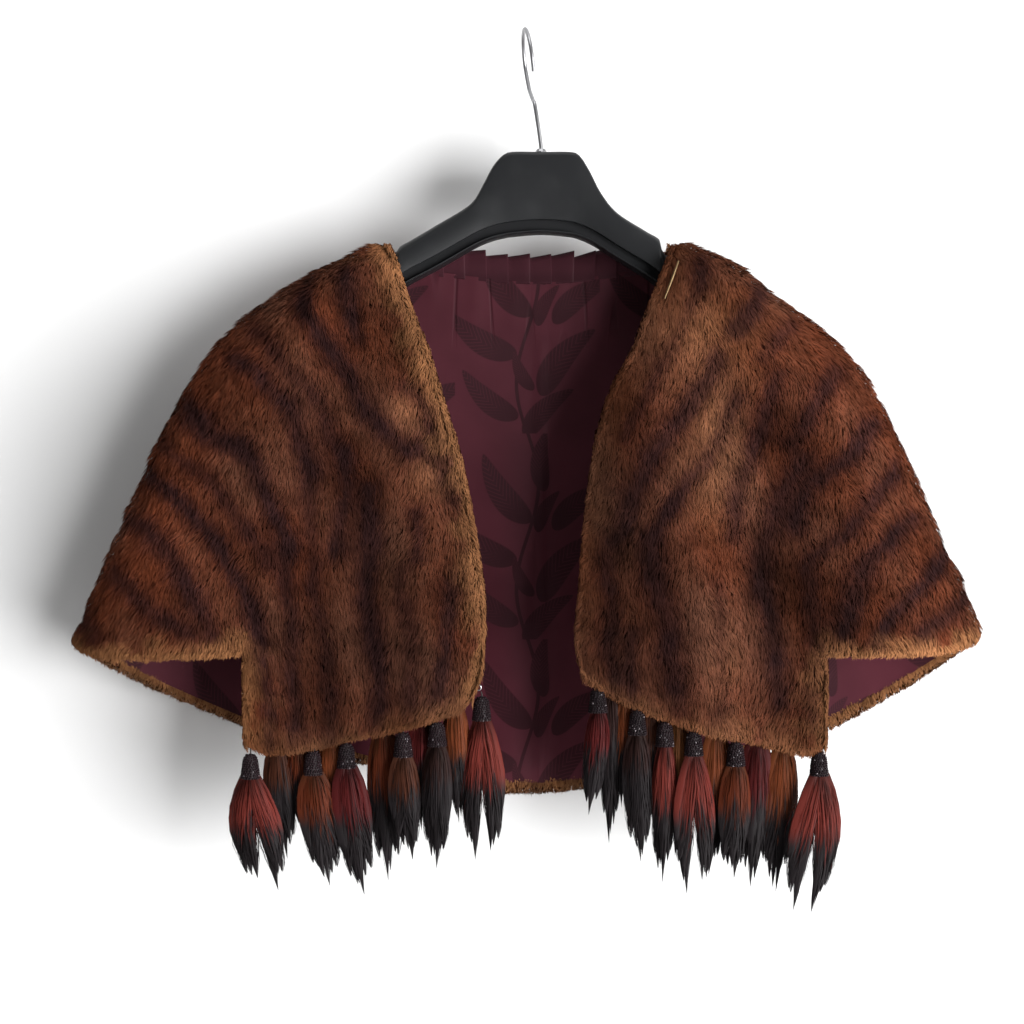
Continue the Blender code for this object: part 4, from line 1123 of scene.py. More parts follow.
class Effects:
    """The node groups that the finishes share."""

    def __init__(self) -> None:
        """Builds every group."""
        self.mottle = self.build_mottle()
        self.hair = self.build_hair()
        self.dyed = self.build_dyed()
        self.weave = self.build_weave()
        self.gathers = self.build_gathers()
        self.leaf = self.build_leaf()
        self.rubbed = self.build_rubbed()

    @staticmethod
    def build_mottle() -> NodeTree:
        """Soft patches over the surface: a factor between two levels."""
        effect = EffectGroup("soft_mottle", dict.fromkeys(("Size", "Low", "High"), Socket.VALUE),
                             {"Factor": Socket.VALUE})
        board, taken = effect.board, effect.taken
        noise = board.put("ShaderNodeTexNoise", {"Vector": board.place(), "Detail": 3.0,
                                                 "Scale": board.sum("DIVIDE", 1.0, taken["Size"])})
        effect.give("Factor", board.spread(noise.outputs[0], 0.3, 0.7, taken["Low"],
                                           taken["High"]))
        return effect.tree

    @staticmethod
    def build_hair() -> NodeTree:
        """The pelt's colour from its marks: stripes, warmth, gilt and each hair's shade, with
        painted light and shade in the gilt and the tone.
        """
        effect = EffectGroup("pelt_colour", {
            "Mark": Socket.VECTOR, "Hue": Socket.VECTOR, "Light": Socket.COLOUR,
            "Rust": Socket.COLOUR, "Dark": Socket.COLOUR, "Gilt and light": Socket.COLOUR,
            "Root": Socket.VALUE, "Spread": Socket.VALUE}, {"Colour": Socket.COLOUR})
        board, taken = effect.board, effect.taken
        dark, along, shade = board.split(taken["Mark"])
        warm, gilt, tone = board.split(taken["Hue"])
        colour = board.blend(warm, taken["Light"], taken["Rust"])
        colour = board.blend(gilt, colour, taken["Gilt and light"])
        colour = board.blend(dark, colour, taken["Dark"])
        # Painted shade: each hair is darker towards its root, down in the pile
        depth = board.spread(along, 0.0, 0.85, taken["Root"], 1.0)
        own = board.sum("MULTIPLY_ADD", board.sum("SUBTRACT", shade, 0.5), taken["Spread"], 1.0)
        level = board.sum("MULTIPLY", board.sum("MULTIPLY", depth, own),
                          board.sum("ADD", tone, 1.0))
        effect.give("Colour", board.shaded(colour, level))
        return effect.tree

    @staticmethod
    def build_dyed() -> NodeTree:
        """A dyed tail's colour: dye above, its own black below, each hair a little apart and
        darker towards its root as painted shade.
        """
        effect = EffectGroup("dyed_tail_colour", {
            "Mark": Socket.VECTOR, "Hue": Socket.VECTOR, "Dye": Socket.COLOUR,
            "Root": Socket.COLOUR, "Tip": Socket.COLOUR, "From": Socket.VALUE,
            "Spread": Socket.VALUE}, {"Colour": Socket.COLOUR})
        board, taken = effect.board, effect.taken
        _, along, shade = board.split(taken["Mark"])
        _, _, fall = board.split(taken["Hue"])
        start = board.spread(fall, 0.0, 0.22, 0.0, 1.0)
        colour = board.blend(start, taken["Root"], taken["Dye"])
        over = board.spread(board.sum("SUBTRACT", fall, taken["From"]), -0.06, 0.10)
        colour = board.blend(over, colour, taken["Tip"])
        own = board.sum("MULTIPLY_ADD", board.sum("SUBTRACT", shade, 0.5), taken["Spread"], 1.0)
        # Painted shade: each hair is darker towards its root, inside the bundle
        level = board.sum("MULTIPLY", board.spread(along, 0.0, 0.7, 0.55, 1.0), own)
        effect.give("Colour", board.shaded(colour, level))
        return effect.tree

    @staticmethod
    def build_weave() -> NodeTree:
        """The height of fine threads that run across the front view."""
        effect = EffectGroup("satin_weave", {"Pitch": Socket.VALUE}, {"Height": Socket.VALUE})
        board, taken = effect.board, effect.taken
        x, _, z = board.split(board.place())
        turn = board.sum("DIVIDE", 2 * math.pi, taken["Pitch"])
        warp = board.sum("SINE", board.sum("MULTIPLY", x, turn))
        weft = board.sum("SINE", board.sum("MULTIPLY", z, turn))
        effect.give("Height", board.sum("MULTIPLY_ADD", weft, 0.35, warp))
        return effect.tree

    @staticmethod
    def build_gathers() -> NodeTree:
        """Narrow upright creases that die away below the neck: 1 off a crease, 0 in it."""
        effect = EffectGroup("neck_gathers", {"Top": Socket.VALUE, "Reach": Socket.VALUE},
                             {"Height": Socket.VALUE})
        board, taken = effect.board, effect.taken
        place = board.place()
        z = board.split(place)[2]
        stretched = board.put("ShaderNodeVectorMath", {0: place, 1: (44.0, 0.0, 3.0)},
                              operation="MULTIPLY").outputs[0]
        noise = board.put("ShaderNodeTexNoise", {"Vector": stretched, "Scale": 1.0,
                                                 "Detail": 0.0}).outputs[0]
        crease = board.spread(board.sum("ABSOLUTE", board.sum("SUBTRACT", noise, 0.5)), 0.0, 0.035)
        down = board.sum("DIVIDE", board.sum("SUBTRACT", taken["Top"], z), taken["Reach"])
        height_ramp = board.spread(down, 0.35, 1.0)
        effect.give("Height", board.sum("MAXIMUM", crease, height_ramp))
        return effect.tree

    @staticmethod
    def build_leaf() -> NodeTree:
        """One broad leaf of a damask, with fine ribs, in a repeat's own millimetres."""
        sizes = ("Across", "Up", "Centre across", "Centre up", "Turn", "Length")
        effect = EffectGroup("damask_leaf", dict.fromkeys(sizes, Socket.VALUE),
                             {"Leaf": Socket.VALUE, "Rib": Socket.VALUE})
        board, taken = effect.board, effect.taken
        a = board.sum("SUBTRACT", taken["Across"], taken["Centre across"])
        b = board.sum("SUBTRACT", taken["Up"], taken["Centre up"])
        cosine, sine = board.sum("COSINE", taken["Turn"]), board.sum("SINE", taken["Turn"])
        u = board.sum("DIVIDE", board.sum("ADD", board.sum("MULTIPLY", a, cosine),
                                          board.sum("MULTIPLY", b, sine)), taken["Length"])
        v = board.sum("DIVIDE", board.sum("SUBTRACT", board.sum("MULTIPLY", b, cosine),
                                          board.sum("MULTIPLY", a, sine)), taken["Length"])
        bent = board.sum("SUBTRACT", u, board.sum("MULTIPLY", board.sum("MULTIPLY", v, v), 0.35))
        body = board.sum("SUBTRACT", 1.0, board.sum("MULTIPLY", board.sum("MULTIPLY", v, v), 4.0))
        width = board.sum("MULTIPLY", board.sum("SQRT", board.sum("MAXIMUM", body, 0.0)),
                          board.sum("SUBTRACT", 0.155, board.sum("MULTIPLY", v, 0.12)))
        inside = board.sum("SUBTRACT", width, board.sum("ABSOLUTE", bent))
        leaf = board.spread(inside, 0.0, 0.02)
        slant = board.sum("SUBTRACT", v, board.sum("MULTIPLY", board.sum("ABSOLUTE", bent), 1.4))
        teeth = board.sum("SINE", board.sum("MULTIPLY", slant, 90.0))
        upper = board.spread(v, -0.40, 0.0)
        rib = board.sum("MULTIPLY", board.spread(teeth, 0.35, 0.9), upper)
        effect.give("Leaf", leaf)
        effect.give("Rib", board.sum("MULTIPLY", rib, leaf))
        return effect.tree

    @staticmethod
    def build_rubbed() -> NodeTree:
        """Fine grain and faint rubbed marks of moulded or drawn stock."""
        effect = EffectGroup("rubbed_grain", dict.fromkeys(("Grain", "Base", "Rub"), Socket.VALUE),
                             {"Height": Socket.VALUE, "Roughness": Socket.VALUE})
        board, taken = effect.board, effect.taken
        place = board.place()
        fine = board.put("ShaderNodeTexNoise", {"Vector": place, "Detail": 2.0, "Scale":
                                                board.sum("DIVIDE", 1.0, taken["Grain"])})
        broad = board.put("ShaderNodeTexNoise", {"Vector": place, "Scale": 38.0, "Detail": 4.0})
        effect.give("Height", fine.outputs[0])
        rub = board.sum("MULTIPLY", board.spread(broad.outputs[0], 0.45, 0.75), taken["Rub"])
        effect.give("Roughness", board.sum("ADD", taken["Base"], rub))
        return effect.tree


Colour = tuple[float, float, float]


def rgba(colour: Colour) -> tuple[float, float, float, float]:
    """A colour with its alpha."""
    return (*colour, 1.0)


def blank_material(name: str) -> tuple[Material, Board, Node]:
    """A material, its board and its shader."""
    material = bpy.data.materials.new(name)
    material.use_nodes = True
    board = Board(material.node_tree)
    return material, board, material.node_tree.nodes["Principled BSDF"]


@dataclass(frozen=True)
class PeltFinish:
    """The brown pelt, striped dark and gilt along its rolled edges, the gilt partly painted light.
    """

    light: Colour = (0.102, 0.0405, 0.0245)
    rust: Colour = (0.098, 0.0250, 0.0108)
    dark: Colour = (0.0250, 0.0099, 0.0096)
    # The colour of the gilt edges, partly painted light
    gilt: Colour = (0.236, 0.105, 0.044)
    # The level at a hair's root: painted shade down in the pile
    root: float = 0.97
    spread: float = 0.44
    roughness: float = 0.62
    specular: float = 0.02
    sheen: float = 0.03
    sheen_tint: Colour = (1.0, 0.62, 0.42)

    def material(self, effects: Effects) -> Material:
        """Makes the material of the pile and the skin.

        Args:
            effects: The shared node groups.

        Returns:
            The material.
        """
        made, board, shader = blank_material("fur_pile")
        pelt = board.group(effects.hair, {
            "Mark": board.mark("pile_mark"), "Hue": board.mark("pile_hue"),
            "Light": rgba(self.light), "Rust": rgba(self.rust), "Dark": rgba(self.dark),
            "Gilt and light": rgba(self.gilt), "Root": self.root, "Spread": self.spread})[0]
        fleck = board.group(effects.mottle, {"Size": 0.012, "Low": 0.82, "High": 1.18})[0]
        board.fill(shader, {
            "Base Color": board.shaded(pelt, fleck), "Roughness": self.roughness,
            "Specular IOR Level": self.specular, "Sheen Weight": self.sheen,
            "Sheen Roughness": 0.4, "Sheen Tint": rgba(self.sheen_tint)})
        return made


@dataclass(frozen=True)
class TailFinish:
    """A dyed fur tail."""

    name: str
    dye: Colour
    root: Colour
    tip: Colour = (0.0150, 0.0124, 0.0134)
    black_from: float = 0.40
    spread: float = 0.6
    roughness: float = 0.5
    specular: float = 0.05

    def material(self, effects: Effects) -> Material:
        """Makes the material of a tail's hairs.

        Args:
            effects: The shared node groups.

        Returns:
            The material.
        """
        made, board, shader = blank_material(f"tail_{self.name}")
        dyed = board.group(effects.dyed, {
            "Mark": board.mark("pile_mark"), "Hue": board.mark("pile_hue"),
            "Dye": rgba(self.dye), "Root": rgba(self.root), "Tip": rgba(self.tip),
            "From": self.black_from, "Spread": self.spread})[0]
        board.fill(shader, {"Base Color": dyed, "Roughness": self.roughness,
                            "Specular IOR Level": self.specular})
        return made


class Dye(Enum):
    """The dyes that the tails come in."""

    ROSE = TailFinish("rose", (0.120, 0.021, 0.016), (0.045, 0.010, 0.008), black_from=0.44)
    CRIMSON = TailFinish("crimson", (0.062, 0.0085, 0.0085), (0.030, 0.005, 0.005))
    RUST = TailFinish("rust", (0.085, 0.018, 0.0075), (0.050, 0.015, 0.006))
    ORANGE = TailFinish("orange", (0.120, 0.030, 0.0110), (0.080, 0.025, 0.008), black_from=0.44)
    GOLD = TailFinish("gold", (0.125, 0.045, 0.017), (0.09, 0.034, 0.011), black_from=0.45)
    BROWN = TailFinish("brown", (0.050, 0.016, 0.009), (0.045, 0.016, 0.009), black_from=0.34)
    DUSK = TailFinish("dusk", (0.022, 0.010, 0.009), (0.020, 0.009, 0.007), black_from=0.28)


@dataclass(frozen=True)
class SatinFinish:
    """Maroon satin, plain or with a tone-on-tone leaf damask in a half-drop repeat.

    Its height ramp is the two heights between which its colour is scaled, and its levels at them:
    painted light that lightens the lining towards the hem, and painted shade that darkens the
    frill at its foot.
    """

    name: str
    ground: Colour
    figure: Colour
    rib: Colour
    height_ramp: tuple[float, float, float, float]
    damask: bool = True
    repeat_width: float = 118.0
    repeat_height: float = 168.0
    stem_sway: float = 9.0
    stem_wave: float = 0.037
    stem_width: float = 1.7
    rib_strength: float = 0.75
    thread_pitch: float = 0.0009
    thread_height: float = 0.0001
    neck: float = -0.188
    gather_reach: float = 0.07
    gather_height: float = 0.0012
    # How dark the satin is in the gathers' creases: painted shade
    gather_shade_level: float = 0.72
    specular: float = 0.08

    # Each leaf's middle across and up the repeat, its turn and its length
    LEAVES = (
        (-34.0, -56.0, 0.85, 60.0), (14.0, -64.0, -0.80, 56.0), (-40.0, -8.0, 1.00, 66.0),
        (28.0, -22.0, -0.70, 70.0), (-22.0, 36.0, 0.60, 68.0), (42.0, 28.0, -0.95, 60.0),
        (10.0, 62.0, -0.05, 50.0), (-6.0, -34.0, 0.45, 36.0), (14.0, 22.0, -0.50, 38.0),
    )

    def figure_masks(self, board: Board, effects: Effects) -> tuple:
        """The damask over the cloth.

        Args:
            board: The material's board.
            effects: The shared node groups.

        Returns:
            The masks of its leaves with their stem, and of the leaves' ribs.
        """
        x, _, z = board.split(board.place())
        # A metre or two more keeps the places above 0, where FRACT and MODULO run on evenly
        across = board.sum("DIVIDE", board.sum("ADD", x, 1.0), self.repeat_width * MM)
        column = board.sum("FLOOR", across)
        half = board.sum("MULTIPLY", board.sum("MODULO", column, 2.0), 0.5)
        up = board.sum("ADD", board.sum("DIVIDE", board.sum("ADD", z, 2.0),
                                        self.repeat_height * MM), half)
        u = board.sum("MULTIPLY", board.sum("SUBTRACT", board.sum("FRACT", across), 0.5),
                      self.repeat_width)
        v = board.sum("MULTIPLY", board.sum("SUBTRACT", board.sum("FRACT", up), 0.5),
                      self.repeat_height)
        leaf_mask = rib_mask = 0.0
        for centre_across, centre_up, turn, length in self.LEAVES:
            leaf, rib = board.group(effects.leaf, {
                "Across": u, "Up": v, "Centre across": centre_across, "Centre up": centre_up,
                "Turn": turn, "Length": length})
            leaf_mask = board.sum("MAXIMUM", leaf_mask, leaf)
            rib_mask = board.sum("MAXIMUM", rib_mask, rib)
        wave = board.sum("SINE", board.sum("MULTIPLY", v, self.stem_wave))
        sway = board.sum("MULTIPLY", wave, self.stem_sway)
        beside = board.sum("ABSOLUTE", board.sum("SUBTRACT", u, sway))
        stem = board.spread(beside, self.stem_width, self.stem_width - 0.5)
        return board.sum("MAXIMUM", leaf_mask, stem), rib_mask

    def material(self, effects: Effects) -> Material:
        """Makes the satin.

        Args:
            effects: The shared node groups.

        Returns:
            The material.
        """
        made, board, shader = blank_material(self.name)
        mottle = board.group(effects.mottle, {"Size": 0.05, "Low": 0.90, "High": 1.12})[0]
        colour = board.shaded(rgba(self.ground), mottle)
        rough = board.spread(mottle, 0.9, 1.12, 0.50, 0.60)
        threads = board.group(effects.weave, {"Pitch": self.thread_pitch})[0]
        normal = board.bump(threads, 0.12, self.thread_height)
        # Painted light and shade: the colour is scaled between two heights
        level = board.spread(board.split(board.place())[2], *self.height_ramp)
        if self.damask:
            leaf, rib = self.figure_masks(board, effects)
            colour = board.blend(leaf, colour, rgba(self.figure))
            shown = board.sum("MULTIPLY", rib, self.rib_strength)
            colour = board.blend(shown, colour, rgba(self.rib))
            rough = board.sum("MULTIPLY_ADD", leaf, 0.14, rough)
            gathers = board.group(effects.gathers, {"Top": self.neck,
                                                    "Reach": self.gather_reach})[0]
            normal = board.bump(gathers, 0.35, self.gather_height, normal)
            # Painted shade: the satin darkens in the creases of the neck gathers
            crease_shade = board.spread(gathers, 0.0, 1.0, self.gather_shade_level, 1.0)
            level = board.sum("MULTIPLY", crease_shade, level)
        board.fill(shader, {"Base Color": board.shaded(colour, level), "Roughness": rough,
                            "Normal": normal, "Specular IOR Level": self.specular})
        return made


@dataclass(frozen=True)
class HardFinish:
    """Moulded plastic, drawn wire, plate or glass, with a fine grain."""

    name: str
    colour: Colour
    worn: Colour
    roughness: float
    metallic: float = 0.0
    grain: float = 0.0006
    grain_height: float = 0.00003
    rub: float = 0.15
    specular: float = 0.5

    def material(self, effects: Effects) -> Material:
        """Makes the material.

        Args:
            effects: The shared node groups.

        Returns:
            The material.
        """
        made, board, shader = blank_material(self.name)
        height, rough = board.group(effects.rubbed, {"Grain": self.grain, "Base": self.roughness,
                                                     "Rub": self.rub})
        worn = board.group(effects.mottle, {"Size": 0.03, "Low": 0.0, "High": 1.0})[0]
        board.fill(shader, {
            "Base Color": board.blend(worn, rgba(self.colour), rgba(self.worn)),
            "Roughness": rough, "Normal": board.bump(height, 0.5, self.grain_height),
            "Metallic": self.metallic, "Specular IOR Level": self.specular})
        return made


PLASTIC = HardFinish("hanger_plastic", (0.0085, 0.009, 0.010), (0.0085, 0.009, 0.0098), 0.42,
                     specular=0.22)
# The same plastic in the hollow underside, made lighter as painted light in the recess's shade,
# and rougher
HOLLOW_PLASTIC_LIT = HardFinish("hanger_hollow_lit", (0.0125, 0.0130, 0.0138), (0.014, 0.014, 0.0150),
                            0.7, specular=0.04)
CHROME = HardFinish("hook_wire", (0.34, 0.34, 0.35), (0.27, 0.27, 0.28), 0.34, metallic=1.0)
GILT_METAL = HardFinish("gilt_bar", (0.20, 0.135, 0.07), (0.12, 0.08, 0.045), 0.55, metallic=1.0)
BEAD_GLASS = HardFinish("cap_beads", (0.0070, 0.0034, 0.0045), (0.014, 0.0065, 0.0085), 0.34,
                        grain=0.002, rub=0.3, specular=0.14)
BEAD_SILVER = HardFinish("cap_bright_beads", (0.20, 0.17, 0.18), (0.12, 0.10, 0.11), 0.3,
                         metallic=1.0)
CAP_CLOTH = HardFinish("cap_cloth", (0.012, 0.007, 0.009), (0.020, 0.012, 0.014), 0.7)
THREAD = HardFinish("thread", (0.014, 0.009, 0.009), (0.022, 0.014, 0.014), 0.7)
# The lining is lightened towards its hem: painted light
LINING_SATIN = SatinFinish("lining_satin", (0.0415, 0.0086, 0.0132), (0.0200, 0.0052, 0.0074),
                           (0.0360, 0.0078, 0.0116), (-0.34, -0.60, 1.0, 1.55))
# The frill is darkened at its foot: painted shade
FRILL_SATIN = SatinFinish("frill_satin", (0.0400, 0.0112, 0.0160), (0.02, 0.005, 0.008),
                          (0.03, 0.008, 0.01), (-0.196, -0.183, 0.66, 1.0), damask=False)


# The fine and the broad unevenness of the hairs' shades
STREAKS = Ripple(9, 63)
TUFTS = Ripple(24, 64)


@dataclass
class PeltPanelPile:
    """The hair of one panel, rooted in its skin and reaching the panel's outer surface."""

    panel: Panel
    marks: PeltMarks
    count: int
    rim_density: float = 17.0
    length: float = 10.0
    half_width: float = 0.43
    skin_depth: float = 4.8
    skin_back: float = 7.9
    skin_inset: float = 2.2
    stripe_dip: float = 1.2
    clump: float = 5.0
    lock: float = 17.0
    gather: float = 0.12
    roll_depth: float = 5.4
    roll_inset: float = 5.2
    roll_within: float = 6.0
    roll_radius: float = 3.4
    roll_before: float = 0.25
    roll_past: float = 0.4
    roll_length: float = 8.4
    roll_curl: float = 0.42
    ridge: float = 2.2
    ridge_at: float = 9.0
    ridge_width: float = 7.0
    dip: float = 0.9
    dip_at: float = 25.0
    dip_width: float = 6.0
    edge_curl: float = 0.50
    edge_reach: float = 14.0
    gilt_reach: float = 22.0
    crest: float = 0.55
    crest_depth: float = 24.0
    # How far the pale patches, partly painted light, turn gilt, and how far out from the middle
    gold: float = 0.45
    gold_until: float = 215.0
    crown_from: float = 55.0
    seed: int = 5

    def __post_init__(self) -> None:
        """Works out the layers that the hairs are read from."""
        panel = self.panel
        self.draw = np.random.default_rng(self.seed)
        dark = self.marks.dark(panel.grid)
        self.gap, self.turn, self.edge_gilt_and_light = panel.edge_gap()
        depth = self.skin_depth + self.stripe_dip * dark - 0.8 * Ripple(34, 71).at(panel.grid)
        depth -= self.ridge * np.exp(-((self.gap - self.ridge_at) / self.ridge_width) ** 2)
        depth += self.dip * np.exp(-((self.gap - self.dip_at) / self.dip_width) ** 2)
        self.skin = inset_layer(panel.grid - depth[..., None] * panel.normals, panel,
                                self.skin_inset)
        down = unit(np.gradient(panel.grid, axis=0))
        fall = self.laid(np.broadcast_to((0.0, 0.0, -1.0), down.shape))
        across = panel.grid[..., :1]
        side = self.laid(np.sign(across) * (1.0, 0.0, 0.0))
        crown = np.clip(panel.normals[..., 2:], 0, 1) ** 2
        crown = crown * smoothstep((np.abs(across) - self.crown_from) / 30)
        self.nap = unit(0.6 * down + 0.7 * fall + 1.3 * crown * side)

    def laid(self, ways: np.ndarray) -> np.ndarray:
        """Directions laid down on the panel's surface."""
        normals = self.panel.normals
        return ways - np.sum(ways * normals, axis=-1, keepdims=True) * normals

    def gilt(self, places: np.ndarray, gap: np.ndarray) -> np.ndarray:
        """How gilt the hair is near the rolled edges, as a share of the edge's own gilt, which is
        partly painted light.
        """
        reach = self.gilt_reach * (1 + 0.40 * self.marks.flecks.at(places))
        return smoothstep(1.15 - gap / reach)

    def clumped(self, roots: np.ndarray, size: float) -> tuple[np.ndarray, np.ndarray]:
        """Gathers hairs into clumps.

        Args:
            roots: The hairs' roots.
            size: The clumps' usual size in millimetres.

        Returns:
            Each hair's offset to its clump's middle, and its clump's number.
        """
        area = np.linalg.norm(cell_crosses(self.panel.grid), axis=-1).sum() / 2
        count = max(8, int(area / size ** 2))
        middles = read_grid(self.skin, *self.panel.scatter(count, self.draw))
        tree = KDTree(len(middles))
        for index, middle in enumerate(middles):
            tree.insert(middle, index)
        tree.balance()
        nearest = np.array([tree.find(root)[1] for root in roots])
        return middles[nearest] - roots, nearest

    def field(self) -> StrandBatch:
        """The hairs all over the panel."""
        rows, columns = self.panel.scatter(self.count, self.draw)
        roots = read_grid(self.skin, rows, columns)
        normals = unit(read_grid(self.panel.normals, rows, columns))
        nap = unit(read_grid(self.nap, rows, columns))
        gap = read_grid(self.gap, rows, columns)
        normals = unit(normals + read_grid(self.turn, rows, columns))
        gilt = self.gilt(roots, gap) * read_grid(self.edge_gilt_and_light, rows, columns)
        near = smoothstep(1 - gap / self.edge_reach)
        return self.hairs(roots, normals, nap, gilt, self.length * (1 - 0.3 * near),
                          curl=self.edge_curl * near)

    def rolled(self) -> StrandBatch | None:
        """The hairs round the panel's free edges."""
        batches = [self.rolled_over(edge) for edge in self.panel.free]
        return StrandBatch.joined(batches) if batches else None

    def rolled_over(self, edge: FreeEdge) -> StrandBatch:
        """The hairs that turn over one free edge and under it.

        Args:
            edge: The edge.

        Returns:
            The hairs.
        """
        run = slice(edge.start, edge.stop)
        line, inner = (part[run] for part in self.panel.rim_line(edge.rim, self.panel.grid))
        normals = self.panel.rim_line(edge.rim, self.panel.normals)[0][run]
        strides = np.linalg.norm(np.diff(line, axis=0), axis=1)
        reached = np.concatenate([[0.0], np.cumsum(strides)])
        count = int(reached[-1] * self.rim_density)
        at = self.draw.uniform(0, reached[-1], count)
        along = np.gradient(line, axis=0)
        if along[:, 2].mean() > 0:
            along = -along
        place, out, normal, along = (
            np.stack([np.interp(at, reached, column) for column in layer.T], axis=-1)
            for layer in (line, line - inner, normals, along))
        out, normal, along = unit(out), unit(normal), unit(along)
        last = edge.wrap * math.pi
        angle = self.draw.uniform(-self.roll_before, last + self.roll_past, count)[:, None]
        past = np.maximum(angle - last, 0)
        angle = angle - past
        facing = np.cos(angle) * normal + np.sin(angle) * out
        wrap = np.cos(angle) * out - np.sin(angle) * normal
        roots = (place - (self.roll_inset + self.roll_within * past) * out
                 - self.roll_depth * normal + self.roll_radius * facing)
        nap = wrap if edge.flow is Flow.OVER else unit(0.9 * along + 0.3 * wrap)
        length = self.roll_length * (1 - 0.35 * smoothstep(angle[:, 0] / 2 - 0.6))
        turned_on = angle + 0.5 * np.cos(np.clip(angle / 2, 0, math.pi / 2))
        facing = np.cos(turned_on) * normal + np.sin(turned_on) * out
        return self.hairs(roots, facing, nap, np.full(count, edge.gilt), length, 0.75,
                          self.roll_curl, 0.3)

    def hairs(self, roots: np.ndarray, normals: np.ndarray, nap: np.ndarray, gilt: np.ndarray,
              length: float | np.ndarray, lift: float = 1.0,
              curl: float | np.ndarray = 0.0, first: float = 0.0) -> StrandBatch:
        """Hairs that rise from their roots and lie over along the nap.

        Args:
            roots: Their roots.
            normals: The surface's directions there.
            nap: The ways they lie.
            gilt: How gilt they are, partly as painted light.
            length: Their usual length.
            lift: How far they stand up, against the usual.
            curl: How far their tips bend down, as a share of their length.
            first: Where along a hair its colour starts, and so how much painted root shade it has.

        Returns:
            The hairs.
        """
        draw, count = self.draw, len(roots)
        to_clump, clump = self.clumped(roots, self.clump)
        to_lock, lock = self.clumped(roots, self.lock)
        clump_draw = draw.uniform(-1, 1, (clump.max() + 1, 3))[clump]
        lock_draw = draw.uniform(-1, 1, (lock.max() + 1, 3))[lock]
        swirl = (0.16 * Ripple(90, 81).at(roots) + 0.10 * Ripple(30, 82).at(roots)
                 + 0.20 * clump_draw[:, 0] + 0.14 * lock_draw[:, 0] + draw.normal(0, 0.12, count))
        nap = turned(nap, normals, swirl)
        long = length * draw.uniform(0.78, 1.12, count) * (1 + 0.10 * clump_draw[:, 1])
        stand = (lift * (1 + 0.12 * clump_draw[:, 2] + 0.10 * lock_draw[:, 2])
                 * draw.uniform(0.8, 1.1, count))
        pull = draw.uniform(0.25, 0.75, count)[:, None]
        middle = (roots + long[:, None] * (0.42 * nap + (0.34 * stand)[:, None] * normals)
                  + 0.35 * self.gather * pull * to_clump)
        tip = (middle + long[:, None] * (0.55 * nap + (0.10 * stand - curl)[:, None] * normals)
               + 0.55 * self.gather * pull * to_clump + 0.05 * to_lock)
        roll = draw.normal(0, 0.45, count)
        side = np.cross(nap, normals)
        across = np.cos(roll)[:, None] * side + np.sin(roll)[:, None] * normals
        wide = self.half_width * draw.uniform(0.7, 1.25, count)
        tilt = unit(np.cross(across, tip - roots))
        tilt *= np.sign(np.sum(tilt * normals, axis=1, keepdims=True) + 1e-6)
        facing = unit(0.90 * normals - 0.12 * nap + 0.06 * tilt)
        ahead = self.crest * smoothstep(1 - roots[:, 1] / self.crest_depth)
        facing[:, 1] -= ahead * (1 - facing[:, 1] ** 2)
        facing = unit(facing)
        spine = np.stack([roots, middle, tip], axis=1)
        mark, hue = self.colouring(spine, gilt, clump_draw[:, 1], first)
        return StrandBatch(spine, across * wide[:, None], facing, mark, hue)

    def colouring(self, spine: np.ndarray, gilt: np.ndarray, clump_shade: np.ndarray,
                  first: float) -> tuple[np.ndarray, np.ndarray]:
        """The hairs' colour marks.

        Args:
            spine: Their nodes.
            gilt: How gilt they are, partly as painted light.
            clump_shade: Their clumps' own shades, from -1 to 1.
            first: Where along a hair its colour starts, and so how much painted root shade it has.

        Returns:
            Their marks and hues, one for each node.
        """
        draw, count, roots = self.draw, len(spine), spine[:, 0]
        dark = self.marks.dark(spine + draw.normal(0, 1.5, (count, 1, 3)))
        streak = STREAKS.at(roots * (1.0, 1.0, 0.3)) + 0.7 * TUFTS.at(roots * (1.0, 1.0, 0.45))
        shade = np.clip(0.5 + 0.08 * clump_shade + 0.24 * streak
                        + draw.normal(0, 0.10, count), 0, 1)
        along = np.broadcast_to(np.linspace(first, 1.0, 3), (count, 3))
        tone = self.marks.tone(roots)
        # The pale patches, partly painted light, turn gilt on the fronts out to gold_until from
        # the middle
        patch_gilt_and_light = np.clip(tone, 0, 1) * smoothstep((self.gold_until - np.abs(roots[:, 0])) / 40)
        gilt = ((gilt + (1 - gilt) * self.gold * patch_gilt_and_light) * draw.uniform(0.6, 1.0, count))[:, None]
        mark = np.stack([dark * (1 - 0.7 * gilt), along, np.repeat(shade[:, None], 3, 1)],
                        axis=-1)
        warm = self.marks.warm(roots)[:, None] + 0.5 * dark + draw.normal(0, 0.1, (count, 1))
        tone = (tone - 0.6 * patch_gilt_and_light)[:, None]
        hue = np.stack([np.clip(warm, 0, 1), np.broadcast_to(gilt, (count, 3)),
                        np.broadcast_to(tone, (count, 3))], axis=-1)
        return mark, hue

    def build_skin(self, material: Material) -> Object:
        """Makes the panel's skin, under the hair.

        Args:
            material: The fur's material.

        Returns:
            The object.
        """
        grid = self.panel.grid
        far = inset_layer(grid - self.skin_back * self.panel.normals, self.panel, self.skin_inset)
        made = wall_object(f"pelt_{self.panel.name}", self.skin, far, material)
        dark, warm, tone = (np.tile(values.ravel(), 2) for values in (
            self.marks.dark(grid), self.marks.warm(grid), self.marks.tone(grid)))
        flat = np.ones_like(dark)
        # The skin takes the colour of hair partway up, with a little painted root shade
        set_marks(made.data, np.stack([dark, 0.6 * flat, 0.5 * flat], axis=-1),
                  np.stack([warm, 0 * flat, tone], axis=-1))
        return made

